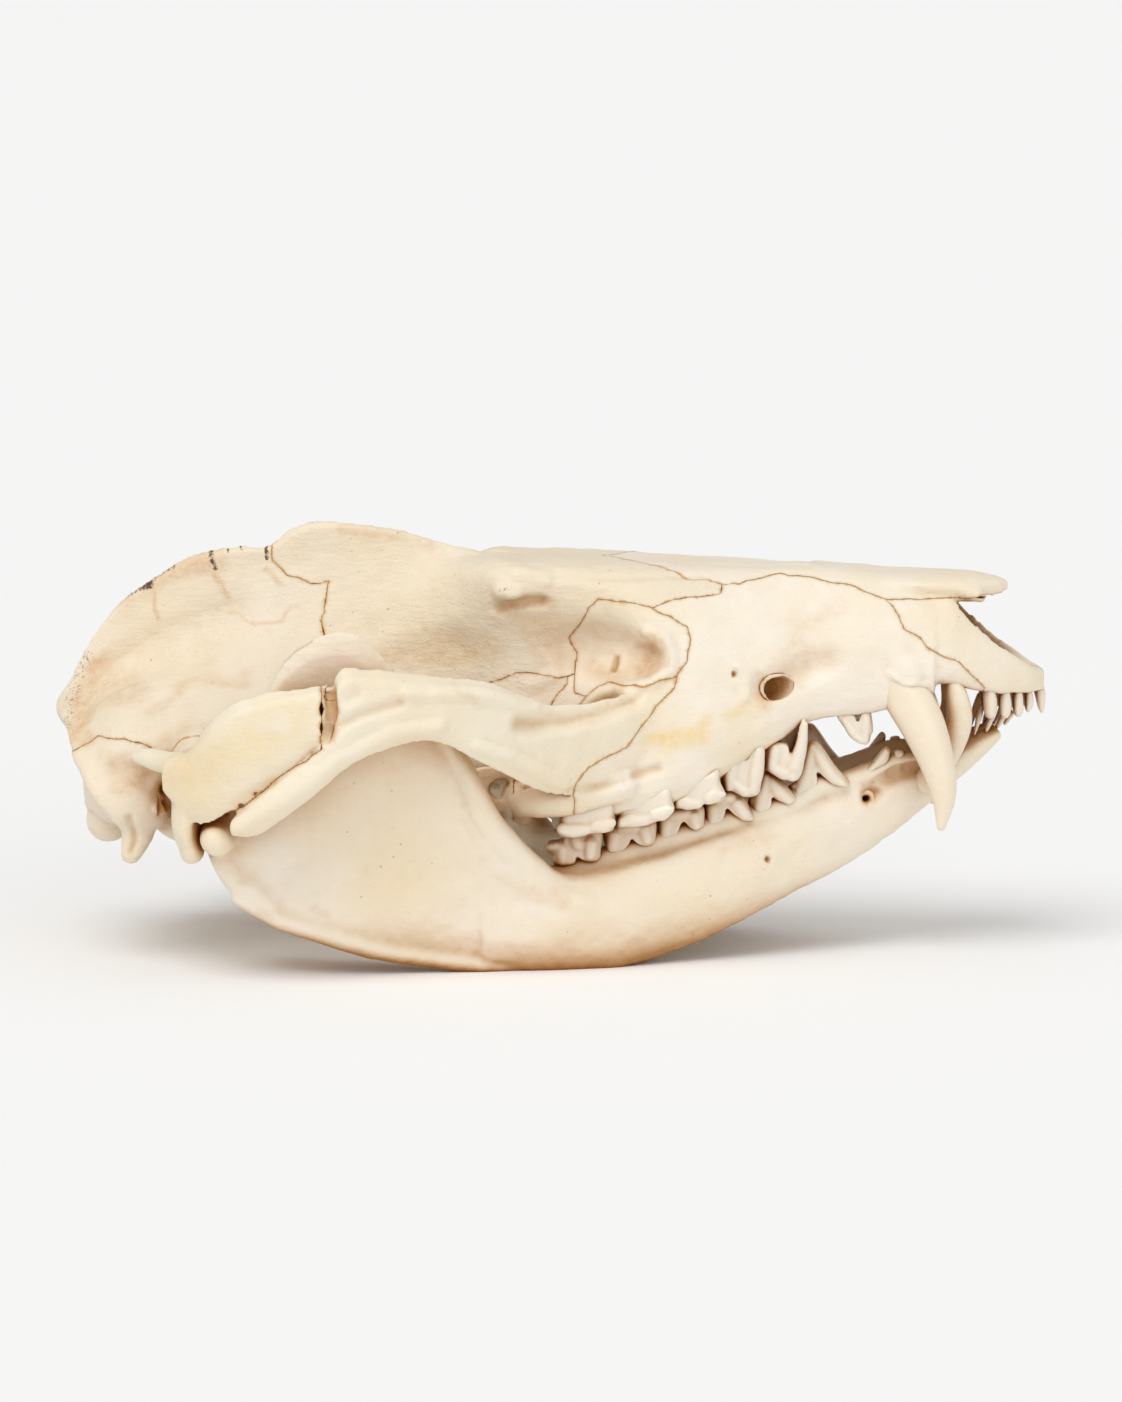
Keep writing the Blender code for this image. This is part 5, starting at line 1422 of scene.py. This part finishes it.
def build_jaw(fineness):
    """One half of the lower jaw, on the left side of the animal."""
    forms = [
        plate("JawBody", JAW_TOP, JAW_FOOT, JAW_THICKNESS, 48, 13),
        plate("Ramus", RAMUS_TOP, RAMUS_FOOT, RAMUS_THICKNESS, 48, 13),
        plate("Angle", ANGLE_OUTER, ANGLE_INNER, ANGLE_THICKNESS, 20),
        tube("Rim", RAMUS_FOOT[1:], (RIM_RADIUS,) * (len(RAMUS_FOOT) - 1), 40),
        tube("Hinge", JAW_HINGE, JAW_HINGE_RADII, 14),
        tube("Neck", JAW_NECK, JAW_NECK_RADII, 12),
        tube("FrontEdge", RAMUS_TOP[6:], (1.0, 1.3, 1.7, 2.2, 2.6), 28),
        tube("ToothLedge", TOOTH_LEDGE, TOOTH_LEDGE_RADII, 36),
    ]
    jaw = join("Jaw", forms)
    fuse(jaw, fineness, 5)
    cut(jaw, tube("ChinCanal", CHIN_CANAL, CHIN_CANAL_RADII, 14))
    give_relief(jaw, JAW_RELIEF, JAW_SOFT)
    cut(jaw, box("Ground", (-FAR, -FAR, -FAR), (FAR, FAR, 0.0)))
    cut(jaw, box("Chin", (-FAR, -FAR, -FAR), (FAR, 0.1, FAR)))
    return keep_largest(jaw)


# Parting the bones.


def dense_outline(outline):
    """The outline with points about SEAM_STEP apart, and the outward direction at each."""
    corners = np.array(outline, dtype=float)
    following = np.roll(corners, -1, axis=0)
    area = (corners[:, 0] * following[:, 1] - following[:, 0] * corners[:, 1]).sum()
    points, outward = [], []
    for start, end in zip(corners, following):
        span = end - start
        count = max(1, int(np.linalg.norm(span) / SEAM_STEP))
        normal = np.array((span[1], -span[0])) / np.linalg.norm(span) * np.sign(area)
        for step in range(count):
            points.append(start + span * step / count)
            outward.append(normal)
    outward = np.array(outward)
    soft = outward + np.roll(outward, 1, axis=0)
    return np.array(points), soft / np.linalg.norm(soft, axis=1)[:, None].clip(0.3)


def wavy(points, outward, distance):
    """Moves the points outward by the distance and by the waves of a grown seam."""
    shift = np.full(len(points), distance)
    for index, (size, height) in enumerate(SEAM_WAVES):
        shift += lattice_noise(points, size, 11 + index) * height
    return points + outward * shift[:, None]


def block(blocks, side, distance, plan=None):
    """The space of a bone's blocks, moved outward by the distance. A side of 1 or -1 keeps to that side."""
    made = []
    for outline, inner, outer in blocks:
        low, high = inner - distance, outer + distance
        if side:
            low, high = sorted((side * low, side * high))
        flat, outward = dense_outline(outline)
        rings = []
        for y in np.linspace(low, high, max(2, int((high - low) / 1.2))):
            points = np.column_stack([flat[:, 0], np.full(len(flat), y), flat[:, 1]])
            directions = np.column_stack([outward[:, 0], np.zeros(len(flat)), outward[:, 1]])
            rings.append(wavy(points, directions, distance))
        made.append(loft("Block", rings))
    for other in made[1:]:
        cut(made[0], other, "UNION")
    if plan:
        flat, outward = dense_outline(plan)
        rings = []
        for z in np.linspace(0.0, FAR, 60):
            points = np.column_stack([flat, np.full(len(flat), z)])
            directions = np.column_stack([outward, np.zeros(len(flat))])
            rings.append(wavy(points, directions, distance))
        cut(made[0], loft("Plan", rings), "INTERSECT")
    return made[0]


def take_bone(whole, name, blocks, gap, side=0, plan=None):
    """Parts one bone from the whole with a thin wavy cut, and returns it as its own object."""
    bone = copy_of(whole, name)
    cut(bone, block(blocks, side, -gap / 2, plan), "INTERSECT")
    bone = keep_largest(bone)
    cut(whole, block(blocks, side, gap / 2, plan), "DIFFERENCE")
    return bone


def paint_bone(piece):
    """Turns what is left of the grown skin into a mark of how near each point is to a seam."""
    edges = read_edges(piece)
    skin = read_layer(piece, "skin")
    for _ in range(SEAM_SPREAD):
        skin = (skin + neighbour_means(skin[:, None], edges)[:, 0]) / 2
    write_layer(piece, "seam", 1.0 - skin)


# The add-on.


def colour_property(name, description, value):
    return FloatVectorProperty(
        name=name, description=description, default=value, subtype="COLOR", min=0, max=1
    )


class SkullLook(bpy.types.PropertyGroup):
    fineness: FloatProperty(
        name="Fineness", description="Width of the facets of the bones",
        default=0.00033, unit="LENGTH", precision=5,
    )
    tooth_fineness: FloatProperty(
        name="Tooth fineness", description="Width of the facets of the teeth", default=0.00015, unit="LENGTH",
        precision=5,
    )
    seam: FloatProperty(
        name="Seam", description="Gap between two bones where they meet",
        default=0.00004, unit="LENGTH", precision=5,
    )
    bone_colour: colour_property("Bone", "Colour of the braincase", (0.84, 0.74, 0.59))
    pale_colour: colour_property("Pale bone", "Colour of the face bones", (0.89, 0.81, 0.69))
    cheek_colour: colour_property("Cheek bone", "Colour of the cheek arch", (0.86, 0.78, 0.62))
    warm_colour: colour_property("Warm clouds", "Colour of the warmer patches of bone", (0.84, 0.71, 0.5))
    ochre_colour: colour_property("Hollows", "Tint of the bone in its hollows", (0.75, 0.55, 0.32))
    # Painted shade: the amber that bone takes on deep inside the skull, where little light reaches.
    amber_shade_colour: colour_property("Amber", "Tint of bone that hides inside the skull", (0.66, 0.36, 0.1))
    # Painted shade: the near black of bone that hardly any light reaches.
    deep_shade_colour: colour_property(
        "Deep bone", "Colour of bone that hardly any light reaches", (0.3, 0.12, 0.015)
    )
    yellow_colour: colour_property("Yellow patches", "Tint of the yellow patches", (0.97, 0.84, 0.52))
    # Rust brown of the stains and seams, also used for the painted shade of narrow crevices in the bone.
    rust_and_crevice_shade_colour: colour_property("Rust", "Tint of the soft brown stains", (0.78, 0.52, 0.28))
    # Dark brown of the pores, also used for the painted shade between the teeth and where they meet the bone.
    stain_and_crevice_shade_colour: colour_property("Stain", "Tint of brown stains", (0.5, 0.27, 0.1))
    soot_colour: colour_property(
        "Dark deposit", "Colour of the deposit along the crest", (0.1, 0.055, 0.025)
    )
    enamel_colour: colour_property("Enamel", "Colour of the small teeth", (0.84, 0.76, 0.64))
    canine_colour: colour_property("Canine ivory", "Colour of the canine teeth", (0.87, 0.76, 0.6))
    dentine_colour: colour_property("Dentine", "Colour of teeth near the gum line", (0.83, 0.66, 0.4))
    floor_colour: colour_property("Floor", "Colour of the floor", (0.97, 0.97, 0.965))


class SKULL_OT_stage(bpy.types.Operator):
    """Lays the floor, sets the lamps and places the camera"""

    bl_idname = "skull.stage"
    bl_label = "Stage"

    def execute(self, context):
        start_clean()
        bpy.ops.mesh.primitive_plane_add(size=FLOOR_SIZE, location=(0.0, 0.0, 0.0))
        floor = context.object
        floor.name = "Floor"
        material = bpy.data.materials.new("Floor paper")
        material.use_nodes = True
        shader = material.node_tree.nodes["Principled BSDF"]
        shader.inputs["Base Color"].default_value = colour4(context.scene.skull_look.floor_colour)
        shader.inputs["Roughness"].default_value = 0.9
        floor.data.materials.append(material)

        world = context.scene.world or bpy.data.worlds.new("Studio")
        context.scene.world = world
        world.use_nodes = True
        world.node_tree.nodes["Background"].inputs["Color"].default_value = (1.0, 1.0, 1.0, 1.0)
        world.node_tree.nodes["Background"].inputs["Strength"].default_value = ROOM_LIGHT

        for name, way, spread, power in SUNS:
            bpy.ops.object.light_add(type="SUN", location=way)
            lamp = context.object
            lamp.name = name
            lamp.data.angle = math.radians(spread)
            lamp.data.energy = power
            lamp.rotation_euler = Vector(way).to_track_quat("Z", "Y").to_euler()

        rise = math.radians(CAMERA_RISE)
        aim = Vector(CAMERA_AIM)
        place = aim + Vector((0.0, -math.cos(rise), math.sin(rise))) * CAMERA_DISTANCE
        bpy.ops.object.camera_add(location=place)
        camera = context.object
        camera.name = "Camera"
        camera.rotation_euler = (aim - place).to_track_quat("-Z", "Y").to_euler()
        camera.data.sensor_fit = "HORIZONTAL"
        camera.data.sensor_width = CAMERA_SENSOR
        camera.data.lens = CAMERA_LENS
        context.scene.camera = camera
        context.scene.view_settings.view_transform = "Standard"
        return {"FINISHED"}


class SKULL_OT_teeth(bpy.types.Operator):
    """Models the incisors and cheek teeth of both jaws"""

    bl_idname = "skull.teeth"
    bl_label = "Teeth"

    def execute(self, context):
        fineness = context.scene.skull_look.tooth_fineness
        for name, rows, node in (
            ("incisors_upper", UPPER_INCISORS, "premaxilla"),
            ("cheek_teeth_upper", UPPER_CHEEK_TEETH, "maxilla"),
            ("incisors_lower", LOWER_INCISORS, "lower_jaw"),
            ("cheek_teeth_lower", LOWER_CHEEK_TEETH, "lower_jaw"),
        ):
            right = tooth_row(name, rows, fineness)
            paint_teeth(right)
            left = to_other_side(copy_of(right, name + "_other"))
            for piece, side in ((right, "right"), (left, "left")):
                finish(piece, f"{name}_{side}", "Tooth enamel", [f"{node}_{side}"])
        return {"FINISHED"}


class SKULL_OT_canines(bpy.types.Operator):
    """Models the four canine teeth"""

    bl_idname = "skull.canines"
    bl_label = "Canine teeth"

    def execute(self, context):
        for name, points, radii in (
            ("upper", UPPER_CANINE, UPPER_CANINE_RADII), ("lower", LOWER_CANINE, LOWER_CANINE_RADII)
        ):
            pairs = [(radius, radius * CANINE_FLATNESS) for radius in radii]
            left = tube("Canine", points, pairs, 40, 32)
            apply(left, "SUBSURF", levels=1, render_levels=1)
            paint_teeth(left)
            right = to_other_side(copy_of(left, "Canine_other"))
            for piece, side in ((right, "right"), (left, "left")):
                node = f"canine_{name}_{side}"
                finish(piece, f"canine_{side}_{name}", "Canine ivory", [node])
        return {"FINISHED"}


class SKULL_OT_cranium(bpy.types.Operator):
    """Models the bones of the cranium and parts them along their seams"""

    bl_idname = "skull.cranium"
    bl_label = "Cranium"

    def execute(self, context):
        look = context.scene.skull_look
        gap = look.seam / MM
        whole = build_cranium(look.fineness)
        bones = []
        for name, blocks, kind, slot, paired in CUT_BONES:
            plan = NASAL_PLAN if blocks is NASAL else None
            for side, word in ((-1, "_right"), (1, "_left")) if paired else ((0, ""),):
                piece = take_bone(whole, name, blocks, gap, side, plan)
                bones.append((piece, name + word, kind, slot))
        bones.append((keep_largest(whole), "skull_base", "Braincase bone", "bone"))
        for piece, node, kind, slot in bones:
            paint_bone(piece)
            finish(piece, f"bone_{node}", kind, [node])
        return {"FINISHED"}


class SKULL_OT_jaw(bpy.types.Operator):
    """Models the two halves of the lower jaw"""

    bl_idname = "skull.jaw"
    bl_label = "Lower jaw"

    def execute(self, context):
        left = build_jaw(context.scene.skull_look.fineness)
        paint_bone(left)
        right = to_other_side(copy_of(left, "Jaw_other"))
        for piece, side in ((right, "right"), (left, "left")):
            finish(piece, f"bone_lower_jaw_{side}", "Face bone", [f"lower_jaw_{side}"])
        return {"FINISHED"}


class SKULL_PT_panel(bpy.types.Panel):
    bl_label = "Opossum Skull"
    bl_idname = "SKULL_PT_panel"
    bl_space_type = "VIEW_3D"
    bl_region_type = "UI"
    bl_category = "Skull"

    def draw(self, context):
        column = self.layout.column(align=True)
        for operator in PIECES:
            column.operator(operator.bl_idname)
        for name in SkullLook.__annotations__:
            self.layout.prop(context.scene.skull_look, name)


PIECES = (SKULL_OT_stage, SKULL_OT_teeth, SKULL_OT_canines, SKULL_OT_cranium, SKULL_OT_jaw)
CLASSES = (SkullLook, *PIECES, SKULL_PT_panel)


def register():
    for made in CLASSES:
        bpy.utils.register_class(made)
    bpy.types.Scene.skull_look = PointerProperty(type=SkullLook)


def unregister():
    del bpy.types.Scene.skull_look
    for made in reversed(CLASSES):
        bpy.utils.unregister_class(made)


def main():
    register()
    bpy.ops.skull.stage()
    bpy.ops.skull.teeth()
    bpy.ops.skull.canines()
    bpy.ops.skull.cranium()
    bpy.ops.skull.jaw()


if __name__ == "__main__":
    main()
